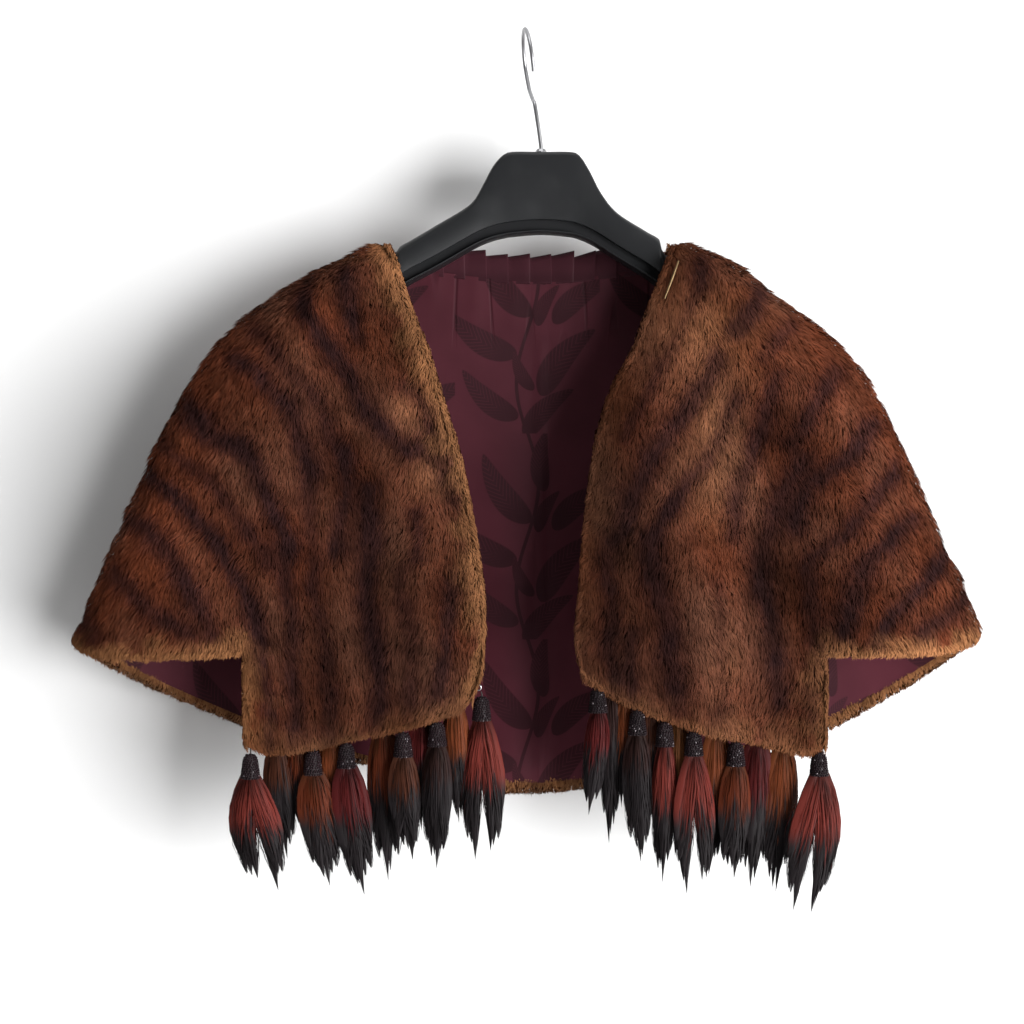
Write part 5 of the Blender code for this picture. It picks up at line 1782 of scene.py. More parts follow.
    def build(self, material: Material) -> tuple[Object, Object]:
        """Makes the panel's fur.

        Args:
            material: The material of both of its pieces.

        Returns:
            The skin and its pile.
        """
        skin = self.build_skin(material)
        batches = [self.field()]
        rolled = self.rolled()
        if rolled is not None:
            batches.append(rolled)
        pile = StrandBatch.joined(batches).build(f"pile_{self.panel.name}", material)
        LOG.info("%s: %d hairs", pile.name, len(pile.data.polygons) // 2)
        return skin, pile


@dataclass
class Lining:
    """The satin lining of one panel, with the soft folds of its neck and middle."""

    panel: Panel
    near_depth: float = 8.4
    wall: float = 0.9
    inset: float = 8.5
    finer: int = 2

    NECK_FOLDS = ((-75.0, 7.0, 0.6, -232.0), (-40.0, 7.0, 0.6, -262.0), (-8.0, 6.0, 0.5, -256.0),
                  (28.0, 7.0, 0.6, -250.0), (61.0, 6.0, 0.6, -226.0))
    NECK_SEAM_Z = -194.0
    CREASE_X = 14.0
    CREASE_FROM = -232.0
    CREASE_WIDTH = 2.6
    CREASE_DEPTH = 1.3

    def relief(self, places: np.ndarray) -> np.ndarray:
        """How far the satin stands off the skin.

        Args:
            places: Places on it, in millimetres.

        Returns:
            The height at each, in millimetres.
        """
        x, z = places[..., 0], places[..., 2]
        wave = Ripple(95, 91).at(places * (1.0, 0.3, 0.28))
        height = 0.9 + 0.9 * wave
        if self.panel.name != "back":
            return np.maximum(height, 0.0)
        for fold_x, width, rise, foot in self.NECK_FOLDS:
            drift = fold_x + 0.06 * (z - self.NECK_SEAM_Z)
            height_ramp = smoothstep((z - foot) / (self.NECK_SEAM_Z - foot)) * smoothstep(
                (self.NECK_SEAM_Z + 6 - z) / 8)
            side = (x - drift) / width
            height = height + rise * height_ramp * np.exp(-side * side) * (1 + 0.4 * np.tanh(2 * side))
        drop = smoothstep((self.CREASE_FROM - z) / 40)
        side = (x - self.CREASE_X) / self.CREASE_WIDTH
        height = height + drop * self.CREASE_DEPTH * (
            np.exp(-side * side) - 0.5 * np.exp(-((side - 2.2) ** 2)))
        return np.maximum(height, 0.0)

    def refined(self, layer: np.ndarray) -> np.ndarray:
        """A grid with more columns between its own."""
        steps = (layer.shape[1] - 1) * self.finer
        rows, columns = np.indices((layer.shape[0], steps + 1), dtype=float)
        return read_grid(layer, rows, columns / self.finer)

    def build(self, material: Material) -> Object:
        """Makes the lining.

        Args:
            material: Its satin.

        Returns:
            The object.
        """
        normals = self.panel.normals
        near, flat = (inset_layer(self.panel.grid - depth * normals, self.panel, self.inset)
                      for depth in (self.near_depth, self.near_depth + self.wall))
        if self.panel.name == "back":
            near, flat, normals = (self.refined(layer) for layer in (near, flat, normals))
        far = flat - self.relief(flat)[..., None] * unit(normals)
        return wall_object(f"satin_{self.panel.name}", near, far, material)


@dataclass
class NeckFrill:
    """The knife-pleated satin frill that stands round the back of the neck."""

    back: Panel
    neck: slice
    pleats: int = 12
    seed: int = 12
    height: float = 22.0
    slant: float = 2.4
    start: float = 0.13
    end: float = 0.87
    seam_depth: float = 9.0
    rise: float = 0.85
    back_off: float = 0.7
    thickness: float = 0.5

    # Along a pleat: its place from 0 to 1 and how far that stands off the fold behind it
    FACE = ((0.0, 0.0), (0.25, 0.28), (0.5, 0.52), (0.75, 0.76), (0.94, 0.95), (0.99, 1.0),
            (1.0, 0.93), (0.985, 0.72), (0.94, 0.4), (0.89, 0.14), (0.88, 0.04))
    # Up a pleat: share of its height, its depth, and how far it leans back
    RISE = ((-0.07, 2.6, 0.0), (-0.01, 2.8, 0.0), (0.03, 2.7, 0.0), (0.2, 2.9, 0.2),
            (0.4, 3.5, 0.6), (0.6, 4.1, 1.2), (0.8, 4.6, 1.9), (1.0, 5.0, 2.6))

    def build(self, material: Material) -> Object:
        """Makes the frill.

        Args:
            material: Its satin.

        Returns:
            The object.
        """
        draw = np.random.default_rng(self.seed)
        seam = Route((self.back.grid - self.seam_depth * self.back.normals)[0, self.neck])
        profile = []
        for pleat in range(self.pleats):
            lift, lean = draw.uniform(-1.2, 1.2), draw.uniform(-0.9, 0.9)
            deep = draw.uniform(0.8, 1.1)
            profile += [((pleat + place) / self.pleats, crest * deep, lift, lean, place)
                        for place, crest in self.FACE]
        points = []
        for share, depth, back in self.RISE:
            for at, crest, lift, lean, place in profile:
                foot = seam.at(self.start + (self.end - self.start) * at)
                top = share * (self.height + lift + self.slant * (place - 0.5))
                points.append((foot[0] + share * lean, foot[1] - self.back_off + back
                               - depth * min(crest, 1.0), foot[2] + self.rise + top))
        faces = grid_quads(np.arange(len(points)).reshape(-1, len(profile)))
        made = mesh_object("neck_frill", np.array(points), faces, material, 50.0)
        thick = made.modifiers.new("cloth", "SOLIDIFY")
        thick.thickness = self.thickness * MM
        thick.offset = 0.0
        return made


@dataclass
class Hanger:
    """The moulded hanger: a head and two arms with a hollow underside."""

    stations: int = 150
    arm_depth: float = 10.1
    band: float = 9.6
    recess: float = 6.4

    SEEN = (
        ArmSection(-99, -172, -205, 13.6, 11.5), ArmSection(-90, -167, -200, 13.2, 10),
        ArmSection(-70, -155.5, -189.5, 12.6, 8), ArmSection(-43, -139, -174, 12, 6),
        ArmSection(-33, -124, -169, 11.5, 5), ArmSection(-25, -109, -166, 11.2, 5),
        ArmSection(-17, -100, -164, 11, 4.5), ArmSection(-9, -97.3, -162.7, 11, 4),
        ArmSection(13.6, -97.3, -161, 11, 4), ArmSection(36, -97.3, -162.7, 11, 4),
        ArmSection(44, -100, -164.7, 11, 4.5), ArmSection(52, -112, -168, 11.2, 5),
        ArmSection(61, -129.6, -173, 11.5, 5), ArmSection(74, -145.6, -181.5, 12, 6),
        ArmSection(97, -160, -195.5, 12.8, 9), ArmSection(108, -166.5, -203, 13.4, 11.5),
    )
    ARM_START = {Side.LEFT: -106.0, Side.RIGHT: 114.0}
    ARM_END = {Side.LEFT: -199.0, Side.RIGHT: 227.0}
    # The outline's sides that lie in the hollow
    HOLLOW_SIDES = (9, 10, 11)
    # Along the hidden arm: share of its length, half depth, height, and drop below the cloth
    ARM_FORM = ((0.0, 13.4, 24.0, 0.0), (0.3, 17.5, 23.0, 0.0), (0.6, 16.4, 21.0, 0.8),
                (0.75, 13.2, 18.0, 3.0), (0.9, 10.5, 14.0, 7.0), (1.0, 5.0, 9.0, 12.0))

    def arm(self, side: Side) -> list[ArmSection]:
        """The arm under the stole, just inside the lining along the shoulder line.

        Args:
            side: Which arm.

        Returns:
            Its sections, from the head outward.
        """
        line = Route(SHOULDER_LINE[side]).line
        tilt = np.arctan(np.gradient(line[:, 1], line[:, 0]))
        x = line[:, 0] + self.arm_depth * np.sin(tilt)
        z = line[:, 1] - self.arm_depth * np.cos(tilt)
        order = np.argsort(x)
        made = []
        for share, half_depth, height, drop in self.ARM_FORM:
            place = self.ARM_START[side] + (self.ARM_END[side] - self.ARM_START[side]) * share
            top = float(np.interp(place, x[order], z[order])) - drop
            made.append(ArmSection(place, top, top - height, half_depth, half_depth - 1.0))
        return made

    def outline(self, section: np.ndarray) -> np.ndarray:
        """One section's outline: crowned top, flat faces, hollow underside and thin lips.

        Args:
            section: The five sizes of an arm's section.

        Returns:
            The outline's points, from the top of the front face round to the back.
        """
        x, top, bottom, half, crown = section
        crown = min(crown, half - 1.0)
        face = bottom + min(self.band, 0.42 * (top - bottom))
        left = [(-half + crown - crown * math.cos(math.radians(a)),
                 top - crown + crown * math.sin(math.radians(a))) for a in range(90, -1, -15)]
        left += [(-half + 0.1, face + 1.0), (-half + 0.5, face + 0.25), (-half + 1.2, face)]
        left += [(-half + self.recess, face + 0.6), (-half + self.recess, bottom + 2.0),
                 (-half + 2.4, bottom + 1.5), (-half + 1.7, bottom + 1.0),
                 (-half + 1.8, bottom + 0.3), (-half + 2.4, bottom)]
        right = [(-y, z) for y, z in left[::-1]]
        return np.array([(x, y, z) for y, z in left + right[:-1]])

    def build(self, material: Material,
              hollow: Material) -> Object:
        """Makes the hanger's body.

        Args:
            material: Its outer finish.
            hollow: The finish of its hollow underside, the plastic made lighter there as painted
                light.

        Returns:
            The object.
        """
        sections = self.arm(Side.LEFT)[::-1] + list(self.SEEN) + self.arm(Side.RIGHT)
        table = np.array(sections)
        xs = np.unique(np.concatenate([np.linspace(table[0, 0], table[-1, 0], self.stations),
                                       table[:, 0]]))
        smooth = Route(table)
        shares = smooth.share_at(0, xs)
        rings = [self.outline(row) for row in smooth.at(shares)]
        sides = len(rings[0])
        faces = tube_faces(np.arange(len(rings) * sides).reshape(-1, sides))
        made = mesh_object("hanger_moulding", np.vstack(rings), faces, material, 38.0)
        made.data.materials.append(hollow)
        side = np.arange(len(faces) - 2) % sides
        inside = np.isin(side, self.HOLLOW_SIDES) | np.isin(sides - 2 - side, self.HOLLOW_SIDES)
        made.data.polygons.foreach_set("material_index",
                                       np.append(inside, [False, False]).astype(np.int32))
        return made


@dataclass
class WireHook:
    """The hanger's wire hook, from its stem up and over the rail."""

    wire: float = 3.2
    radius: float = 25.0
    turn: float = math.radians(5.0)
    stem_x: float = 13.6
    stem_foot: float = -109.0
    stem_straight: float = -92.0
    bend: float = -60.0
    tip_angle: float = math.radians(212.0)
    crown_steps: int = 14
    steps: int = 140

    # Where the wire passes between its stem and its crown: out from the stem, and height
    NECK = ((9.0, -50.5), (20.0, -41.0))

    def line(self) -> np.ndarray:
        """The wire's centre line in millimetres."""
        crown = self.wire / 2
        centre = crown - self.radius
        stem = [(0.0, self.stem_foot), (0.0, self.stem_straight), (0.0, self.bend)]
        neck = Route([(0.0, self.bend), *self.NECK, (self.radius, centre)])
        spots = stem + [tuple(neck.at(share)) for share in (0.2, 0.4, 0.6, 0.8, 1.0)]
        for step in range(1, self.crown_steps + 1):
            angle = self.tip_angle * step / self.crown_steps
            spots.append((self.radius * math.cos(angle), centre + self.radius * math.sin(angle)))
        points = []
        for across, z in spots:
            lean = self.stem_x * np.clip((crown - z) / (crown - self.stem_straight), 0, 1)
            points.append((lean - across * math.sin(self.turn), across * math.cos(self.turn), z))
        return Route(points).at(np.linspace(0, 1, self.steps))

    def build(self, material: Material) -> Object:
        """Makes the hook."""
        return wire_object("hook_wire", self.line(), self.wire / 2, material)


def wire_object(name: str, points: np.ndarray, radius: float | np.ndarray,
                material: Material, sides: int = 16) -> Object:
    """A round wire through points.

    Args:
        name: The object's name.
        points: The centre line in millimetres.
        radius: The wire's radius, the same all along or one for each point.
        material: Its material.
        sides: How many flats it is round.

    Returns:
        The object.
    """
    points = np.asarray(points, float)
    radius = np.broadcast_to(np.asarray(radius, float), (len(points),))
    tangent = unit(np.vstack([points[1:], points[-1:]]) - np.vstack([points[:1], points[:-1]]))
    side = np.cross(tangent[0], (0.31, 0.2, 0.93))
    sides_at = []
    for way in tangent:
        side = side - (side @ way) * way
        side = side / np.linalg.norm(side)
        sides_at.append(side.copy())
    first = np.array(sides_at)
    second = np.cross(tangent, first)
    angle = np.linspace(0, 2 * math.pi, sides, endpoint=False)
    rings = (points[:, None] + radius[:, None, None]
             * (np.cos(angle)[None, :, None] * first[:, None]
                + np.sin(angle)[None, :, None] * second[:, None]))
    faces = tube_faces(np.arange(len(points) * sides).reshape(-1, sides))
    return mesh_object(name, rings.reshape(-1, 3), faces, material, 50.0)


class TailLook(NamedTuple):
    """A tail: its side and number, its tip's x, dye, number of locks, and a plain one's top x."""

    side: Side
    number: int
    tip_x: float
    dye: Dye
    locks: int = 1
    top_x: float = 0.0


def numbered(rows: dict[Side, tuple]) -> list[TailLook]:
    """The tails of both sides, each side numbered from the left as in the frame."""
    return [TailLook(side, number, *row) for side in Side
            for number, row in enumerate(rows[side], 1)]


CAPPED_TAILS = numbered({
    Side.LEFT: ((-197, Dye.ROSE, 2), (-151, Dye.RUST), (-124, Dye.CRIMSON), (-88, Dye.BROWN),
                (-69, Dye.DUSK), (-32.5, Dye.ROSE, 2)),
    Side.RIGHT: ((50, Dye.CRIMSON), (90.7, Dye.DUSK), (106, Dye.ROSE), (131, Dye.ROSE, 2),
                 (160.8, Dye.RUST), (214, Dye.ROSE, 2)),
})
PLAIN_TAILS = numbered({
    Side.LEFT: ((-184.8, Dye.BROWN, 1, -192), (-174, Dye.RUST, 1, -176.6),
                (-148, Dye.ORANGE, 1, -151.9), (-105, Dye.RUST, 1, -110),
                (-79, Dye.CRIMSON, 1, -79.7), (-50, Dye.ORANGE, 1, -54.2)),
    Side.RIGHT: ((67, Dye.DUSK, 1, 67), (76.5, Dye.ORANGE, 1, 77.5), (97, Dye.BROWN, 1, 98.7),
                 (118, Dye.GOLD, 1, 119.4), (142.2, Dye.ORANGE, 1, 148.7),
                 (177, Dye.CRIMSON, 1, 181), (194.7, Dye.ORANGE, 1, 201)),
})


@dataclass
class TailBundle:
    """A tail as a bundle of long hairs that part into pointed wisps below."""

    name: str
    look: TailLook
    top: np.ndarray
    tip: np.ndarray
    half_width: float
    half_depth: float
    hairs: int = 1150
    half_hair: float = 0.38
    wisps: int = 6
    lock_shift: float = 0.38
    lock_open: float = 0.55
    core_sides: int = 7
    core_rings: int = 8
    seed: int = 0

    # Along the tail: how wide the bundle is, against its widest, and how far its wisps spread
    FORM = ((0.0, 0.55, 0.3), (0.08, 0.84, 0.5), (0.2, 0.98, 0.7), (0.4, 1.0, 0.84),
            (0.6, 0.98, 0.84), (0.8, 0.80, 0.68), (0.92, 0.6, 0.52), (1.05, 0.45, 0.40))
    NODES = (0.0, 0.3, 0.65, 1.0)

    def centre(self, share: np.ndarray) -> np.ndarray:
        """The tail's middle line."""
        share = np.asarray(share, float)[:, None]
        line = self.top + (self.tip - self.top) * share
        line[:, 0] = self.top[0] + (self.tip[0] - self.top[0]) * np.abs(share[:, 0]) ** 1.5
        return line

    def parted(self, lock: np.ndarray, share: np.ndarray) -> np.ndarray:
        """How far sideways the locks have parted at shares of the tail."""
        part = (lock - (self.look.locks - 1) / 2) * 2
        return self.lock_shift * self.half_width * part * smoothstep(share / self.lock_open)

    def build(self, material: Material) -> tuple[Object, Object]:
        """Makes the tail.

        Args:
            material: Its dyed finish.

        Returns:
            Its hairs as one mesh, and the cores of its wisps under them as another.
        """
        draw = np.random.default_rng(1000 + self.seed)
        count, wisps = self.hairs, self.wisps
        form = np.array(self.FORM)
        start = np.where(draw.uniform(size=count) < 0.4, draw.uniform(0, 0.08, count),
                         0.64 * draw.uniform(size=count) ** 1.1)
        wisp = draw.integers(0, wisps, count)
        lock = wisp * self.look.locks // wisps
        wisp_x = np.linspace(-0.85, 0.85, wisps) + draw.uniform(-0.12, 0.12, wisps)
        wisp_y = draw.uniform(-0.8, 0.8, wisps)
        wisp_end = 1.0 - 0.16 * np.abs(wisp_x) - draw.uniform(0, 0.09, wisps)
        wisp_end[draw.integers(wisps // 3, wisps - wisps // 3)] = 1.0
        end = np.minimum(start + draw.uniform(0.30, 0.50, count),
                         wisp_end[wisp] - draw.uniform(0, 0.05, count) ** 1.5)
        start = np.minimum(start, end - 0.16)
        angle, radial = draw.uniform(0, 2 * math.pi, count), np.sqrt(draw.uniform(0.08, 1, count))
        stray = np.where(draw.uniform(size=count) < 0.02, 1.3, 1.0)
        own_x = 0.6 * radial * np.cos(angle) * stray + 0.4 * wisp_x[wisp]
        own_y = radial * np.sin(angle) * stray
        spine, fall = np.zeros((count, 4, 3)), np.zeros((count, 4))
        for node, along in enumerate(self.NODES):
            share = start + (end - start) * along
            wide = np.interp(share, form[:, 0], form[:, 1])
            spread = np.interp(share, form[:, 0], form[:, 2])
            swell = 0.62 + 0.38 * min(1.0, 2 * along)
            left = np.clip((wisp_end[wisp] - share) / 0.35, 0, 1)
            gather = smoothstep((share - 0.42) / 0.45)
            line = self.centre(share)
            line[:, 0] += self.half_width * ((1 - gather) * wide * swell * own_x + gather * (
                spread * wisp_x[wisp] + 0.42 * left * radial * np.cos(angle)))
            line[:, 0] += self.parted(lock, share)
            line[:, 1] += self.half_depth * ((1 - gather) * wide * swell * own_y + gather * (
                spread * wisp_y[wisp] + 0.42 * left * radial * np.sin(angle)))
            spine[:, node], fall[:, node] = line, share
        spine[:, 1:3] += draw.normal(0, 0.30, (count, 2, 3))
        out = np.stack([own_x, own_y, np.zeros(count)], axis=-1)
        facing = unit(unit(out) + np.array([0.0, -0.25, 0.15]) + draw.normal(0, 0.10, (count, 3)))
        across = unit(np.cross(unit(spine[:, 3] - spine[:, 0]), facing))
        across *= self.half_hair * draw.uniform(0.7, 1.3, count)[:, None]
        mark, hue = self.colouring(fall, wisp, draw)
        made = StrandBatch(spine, across, facing, mark, hue, (1.0, 0.8)).build(self.name, material)
        return made, self.cores(wisp_x, wisp_y, wisp_end, material)

    def colouring(self, fall: np.ndarray, wisp: np.ndarray,
                  draw: np.random.Generator) -> tuple[np.ndarray, np.ndarray]:
        """The hairs' colour marks.

        Args:
            fall: How far down the tail each of their nodes is, from 0 to 1.
            wisp: The wisp that each hair is in.
            draw: The random draw.

        Returns:
            Their marks and hues, one for each node.
        """
        count, nodes = fall.shape
        tone = draw.uniform(-1, 1, self.wisps)[wisp]
        shade = np.clip(0.5 + draw.normal(0, 0.13, count) + 0.16 * tone, 0, 1)
        own_fall = fall + draw.normal(0, 0.075, count)[:, None] + 0.05 * tone[:, None]
        mark = np.stack([0 * fall, np.broadcast_to(self.NODES, fall.shape),
                         np.repeat(shade[:, None], nodes, 1)], axis=-1)
        return mark, np.stack([0 * fall, 0 * fall, own_fall], axis=-1)

    def cores(self, wisp_x: np.ndarray, wisp_y: np.ndarray, wisp_end: np.ndarray,
              material: Material) -> Object:
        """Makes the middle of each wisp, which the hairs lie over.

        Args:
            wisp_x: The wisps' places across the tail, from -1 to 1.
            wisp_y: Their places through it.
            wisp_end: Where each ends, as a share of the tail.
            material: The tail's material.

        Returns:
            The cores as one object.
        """
        form = np.array(self.FORM)
        turns = np.linspace(0, 2 * math.pi, self.core_sides, endpoint=False)
        index = np.arange(self.core_rings * self.core_sides).reshape(-1, self.core_sides)
        points, faces, falls = [], [], []
        for number, (x, y, end) in enumerate(zip(wisp_x, wisp_y, wisp_end)):
            share = np.linspace(0.02, end - 0.01, self.core_rings)
            spread = np.interp(share, form[:, 0], form[:, 2])
            wide = np.interp(share, form[:, 0], form[:, 1])
            left = np.clip((end - share) / 0.40, 0.02, 1)
            shift = self.parted(number * self.look.locks // self.wisps, share)
            line = self.centre(share)
            ring_x = line[:, 0] + self.half_width * spread * x * 0.85 + shift
            ring_y = line[:, 1] + self.half_depth * spread * y * 0.7
            radius = (0.40 * wide * left)[:, None]
            points.append(np.stack([
                ring_x[:, None] + self.half_width * radius * np.cos(turns),
                ring_y[:, None] + self.half_depth * radius * np.sin(turns),
                np.repeat(line[:, 2:], self.core_sides, axis=1)], axis=-1).reshape(-1, 3))
            faces += tube_faces(number * index.size + index)
            falls.append(np.repeat(share, self.core_sides))
        made = mesh_object(f"{self.name}_core", np.concatenate(points), faces, material, 60.0)
        fall = np.concatenate(falls)
        flat = np.ones_like(fall)
        # The cores take the colour of hair partway along and a little darker: painted shade inside
        # the bundle
        set_marks(made.data, np.stack([0 * fall, 0.4 * flat, 0.4 * flat], axis=-1),
                  np.stack([0 * fall, 0 * fall, fall], axis=-1))
        return made


@dataclass
class BeadedCap:
    """A tail's cap: rows of glass beads over a dark cloth cone, hung on a thread."""

    name: str
    place: np.ndarray
    top: float
    bottom: float
    thread_top: float
    top_radius: float = 4.2
    foot_radius: float = 6.6
    dome: float = 4.5
    bead: float = 0.95
    row_pitch: float = 1.7
    foot_margin: float = 0.6
    top_margin: float = 0.4
    bright_share: float = 0.05
    thread_radius: float = 0.55
    least_thread: float = 1.5
    seed: int = 0

    BEAD_SIDES = 6

    def radius_at(self, z: np.ndarray | float) -> np.ndarray:
        """The cone's radius at a height."""
        share = np.clip((self.top - z) / (self.top - self.bottom), 0, 1)
        wide = self.top_radius + (self.foot_radius - self.top_radius) * share ** 0.8
        over = np.clip((z - self.top + self.dome) / self.dome, 0, 1)
        return wide * np.sqrt(1 - 0.9 * over * over)

    def bead_form(self) -> tuple[np.ndarray, np.ndarray]:
        """One bead's points and triangles, about its middle: two rings between two poles."""
        sides = self.BEAD_SIDES
        turns = 2 * math.pi * np.arange(sides) / sides
        points = [(0.0, 0.0, 1.0)]
        for polar in (math.pi / 3, 2 * math.pi / 3):
            points += [(math.sin(polar) * math.cos(turn), math.sin(polar) * math.sin(turn),
                        math.cos(polar)) for turn in turns]
        points.append((0.0, 0.0, -1.0))
        upper = 1 + np.arange(sides)
        upper_next = np.roll(upper, -1)
        lower, lower_next = upper + sides, upper_next + sides
        top, foot = 0 * upper, 0 * upper + len(points) - 1
        faces = np.array([(top, upper, upper_next), (upper, lower, lower_next),
                          (upper, lower_next, upper_next), (foot, lower_next, lower)])
        return np.array(points), faces.transpose(2, 0, 1).reshape(-1, 3)

    def beads(self) -> tuple[np.ndarray, np.ndarray]:
        """The beads' middles and sizes, in rows round the cone."""
        draw = np.random.default_rng(500 + self.seed)
        middles, sizes = [], []
        z, row = self.bottom + self.foot_margin, 0
        while z < self.top - self.top_margin:
            radius = float(self.radius_at(z)) + 0.35 * self.bead
            number = max(5, int(2 * math.pi * radius / (2.06 * self.bead)))
            for k in range(number):
                angle = 2 * math.pi * (k + 0.5 * (row % 2)) / number + draw.normal(0, 0.03)
                middles.append((self.place[0] + radius * math.cos(angle),
                                self.place[1] + radius * math.sin(angle),
                                z + draw.normal(0, 0.12)))
                sizes.append(self.bead * draw.uniform(0.85, 1.08))
            z += self.row_pitch
            row += 1
        return np.array(middles), np.array(sizes)

    def build(self, glass: Material, silver: Material, cloth: Material,
              thread: Material) -> list[Object]:
        """Makes the cap.

        Args:
            glass: The finish of its dark beads.
            silver: The finish of its few bright ones.
            cloth: The finish of the cone.
            thread: The finish of the thread.

        Returns:
            The beads, the cone under them and, where it shows, the thread.
        """
        form, tris = self.bead_form()
        middles, sizes = self.beads()
        points = (middles[:, None] + form[None] * sizes[:, None, None]).reshape(-1, 3)
        faces = (np.arange(len(middles))[:, None, None] * len(form) + tris).reshape(-1, 3)
        beads = mesh_object(f"{self.name}_beads", points, faces, glass, 80.0)
        beads.data.materials.append(silver)
        chance = np.random.default_rng(700 + self.seed).uniform(size=len(middles))
        bright = chance < self.bright_share
        beads.data.polygons.foreach_set("material_index",
                                        np.repeat(bright, len(tris)).astype(np.int32))
        zs = np.append(np.linspace(self.bottom, self.top - self.dome, 6),
                       self.top + self.dome * np.array([-0.6, -0.3, -0.1, 0.05]))
        line = np.array([(self.place[0], self.place[1], z) for z in zs])
        radii = self.radius_at(zs) - 0.2
        cone = wire_object(f"{self.name}_cone", line, radii, cloth, 14)
        pieces = [beads, cone]
        if self.thread_top - self.top > self.least_thread:
            rise = np.linspace(self.top, self.thread_top, 6)
            sway = 0.35 * np.sin(np.linspace(0, 5, 6))
            line = np.stack([self.place[0] + sway, np.full(6, self.place[1]), rise], axis=-1)
            pieces.append(wire_object(f"{self.name}_thread", line, self.thread_radius, thread, 8))
        return pieces


def solid_box(node: str) -> list[np.ndarray]:
    """The low and high corners of a solid of the frame, in millimetres."""
    return [np.array(corner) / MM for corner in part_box(node)]


@dataclass
class Fringe:
    """All the tails under both hems, with their caps."""

    effects: Effects
    tail_in_cap: float = 4.0
    core_depth: float = 7.0
    fuller: float = 1.3
    plain_fuller: float = 1.75
    plain_front: float = 3.9
    plain_back: float = 5.5
    plain_hairs: int = 1000
    tip_past: float = 3.0
    cap_height: float = 20.0
    bead_margin: float = 1.4
    widest_capped: float = 12.5
    widest_plain: float = 9.0

    def __post_init__(self) -> None:
        """Makes the finishes that the tails share."""
        self.dyes = {dye: dye.value.material(self.effects) for dye in Dye}
        self.glass = BEAD_GLASS.material(self.effects)
        self.silver = BEAD_SILVER.material(self.effects)
        self.cloth = CAP_CLOTH.material(self.effects)
        self.thread = THREAD.material(self.effects)

    def capped(self, look: TailLook, seed: int) -> None:
        """Makes one capped tail in place of its solids.

        Args:
            look: Which tail, and its looks.
            seed: The seed of its draws.
        """
        node = f"tassel_{look.side.value}_{look.number}"
        low, high = solid_box(f"{node}_cap")
        place = (low + high) / 2
        bottom, top = low[2], low[2] + self.cap_height
        cap = BeadedCap(node, place, min(top, high[2]) - self.bead_margin, bottom, high[2],
                        seed=seed)
        pieces = cap.build(self.glass, self.silver, self.cloth, self.thread)
        for piece in pieces:
            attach(piece, BODY)
        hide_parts(f"{node}_cap")
        tail_low, tail_high = solid_box(f"{node}_tail")
        head = np.array([place[0], place[1], bottom + self.tail_in_cap])
        tip = np.array([look.tip_x, place[1], tail_low[2] - self.tip_past])
        half = min((tail_high[0] - tail_low[0]) / 2, self.widest_capped)
        made = TailBundle(f"{node}_hair", look, head, tip, self.fuller * half, self.core_depth,
                          seed=seed).build(self.dyes[look.dye])
        for piece in made:
            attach(piece, BODY)
        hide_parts(f"{node}_tail")

    def plain(self, look: TailLook, seed: int) -> None:
        """Makes one plain tail in place of its solid.

        Args:
            look: Which tail, and its looks.
            seed: The seed of its draws, before the plain tails' own offset.
        """
        node = f"plain_tail_{look.side.value}_{look.number}"
        low, high = solid_box(node)
        y = low[1] + self.plain_front
        top = np.array([look.top_x, y, high[2]])
        tip = np.array([look.tip_x, y + self.plain_back, low[2] - self.tip_past])
        half = min((high[0] - low[0]) / 2, self.widest_plain)
        made = TailBundle(f"{node}_hair", look, top, tip, self.plain_fuller * half,
                          self.core_depth, self.plain_hairs,
                          seed=100 + seed).build(self.dyes[look.dye])
        for piece in made:
            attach(piece, BODY)
        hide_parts(node)

    def build(self) -> None:
        """Makes every tail."""
        for seed, look in enumerate(CAPPED_TAILS):
            self.capped(look, seed)
        for seed, look in enumerate(PLAIN_TAILS):
            self.plain(look, seed)
        LOG.info("fringe: %d tails", len(CAPPED_TAILS) + len(PLAIN_TAILS))


@dataclass
class NeckBar:
    """The gilt hook bar pinned along the right front's neck edge."""

    start: Spot = Spot(121, -188)
    end: Spot = Spot(110, -217)
    radius: float = 1.0
    stand_off: float = 1.8

    def build(self, panel: Panel, material: Material) -> Object:
        """Makes the bar, lying on a panel's surface.

        Args:
            panel: The panel.
            material: The bar's material.

        Returns:
            The object.
        """
        places = panel.grid.reshape(-1, 3)
        quads = grid_quads(np.arange(len(places)).reshape(panel.grid.shape[:2]))
        surface = BVHTree.FromPolygons(places.tolist(), quads.tolist())
        points = []
        for x, z in even(self.start, self.end, 12):
            place, out, _, _ = surface.ray_cast((x, -100.0, z), (0.0, 1.0, 0.0))
            out = np.array(out if out[1] < 0 else -out)
            points.append(np.array(place) + out * self.stand_off)
        share = np.linspace(0, 1, len(points))
        radii = self.radius * (0.55 + 0.45 * np.sin(math.pi * np.clip(share, 0.08, 0.92)))
        return wire_object("neck_bar", np.array(points), radii, material, 12)


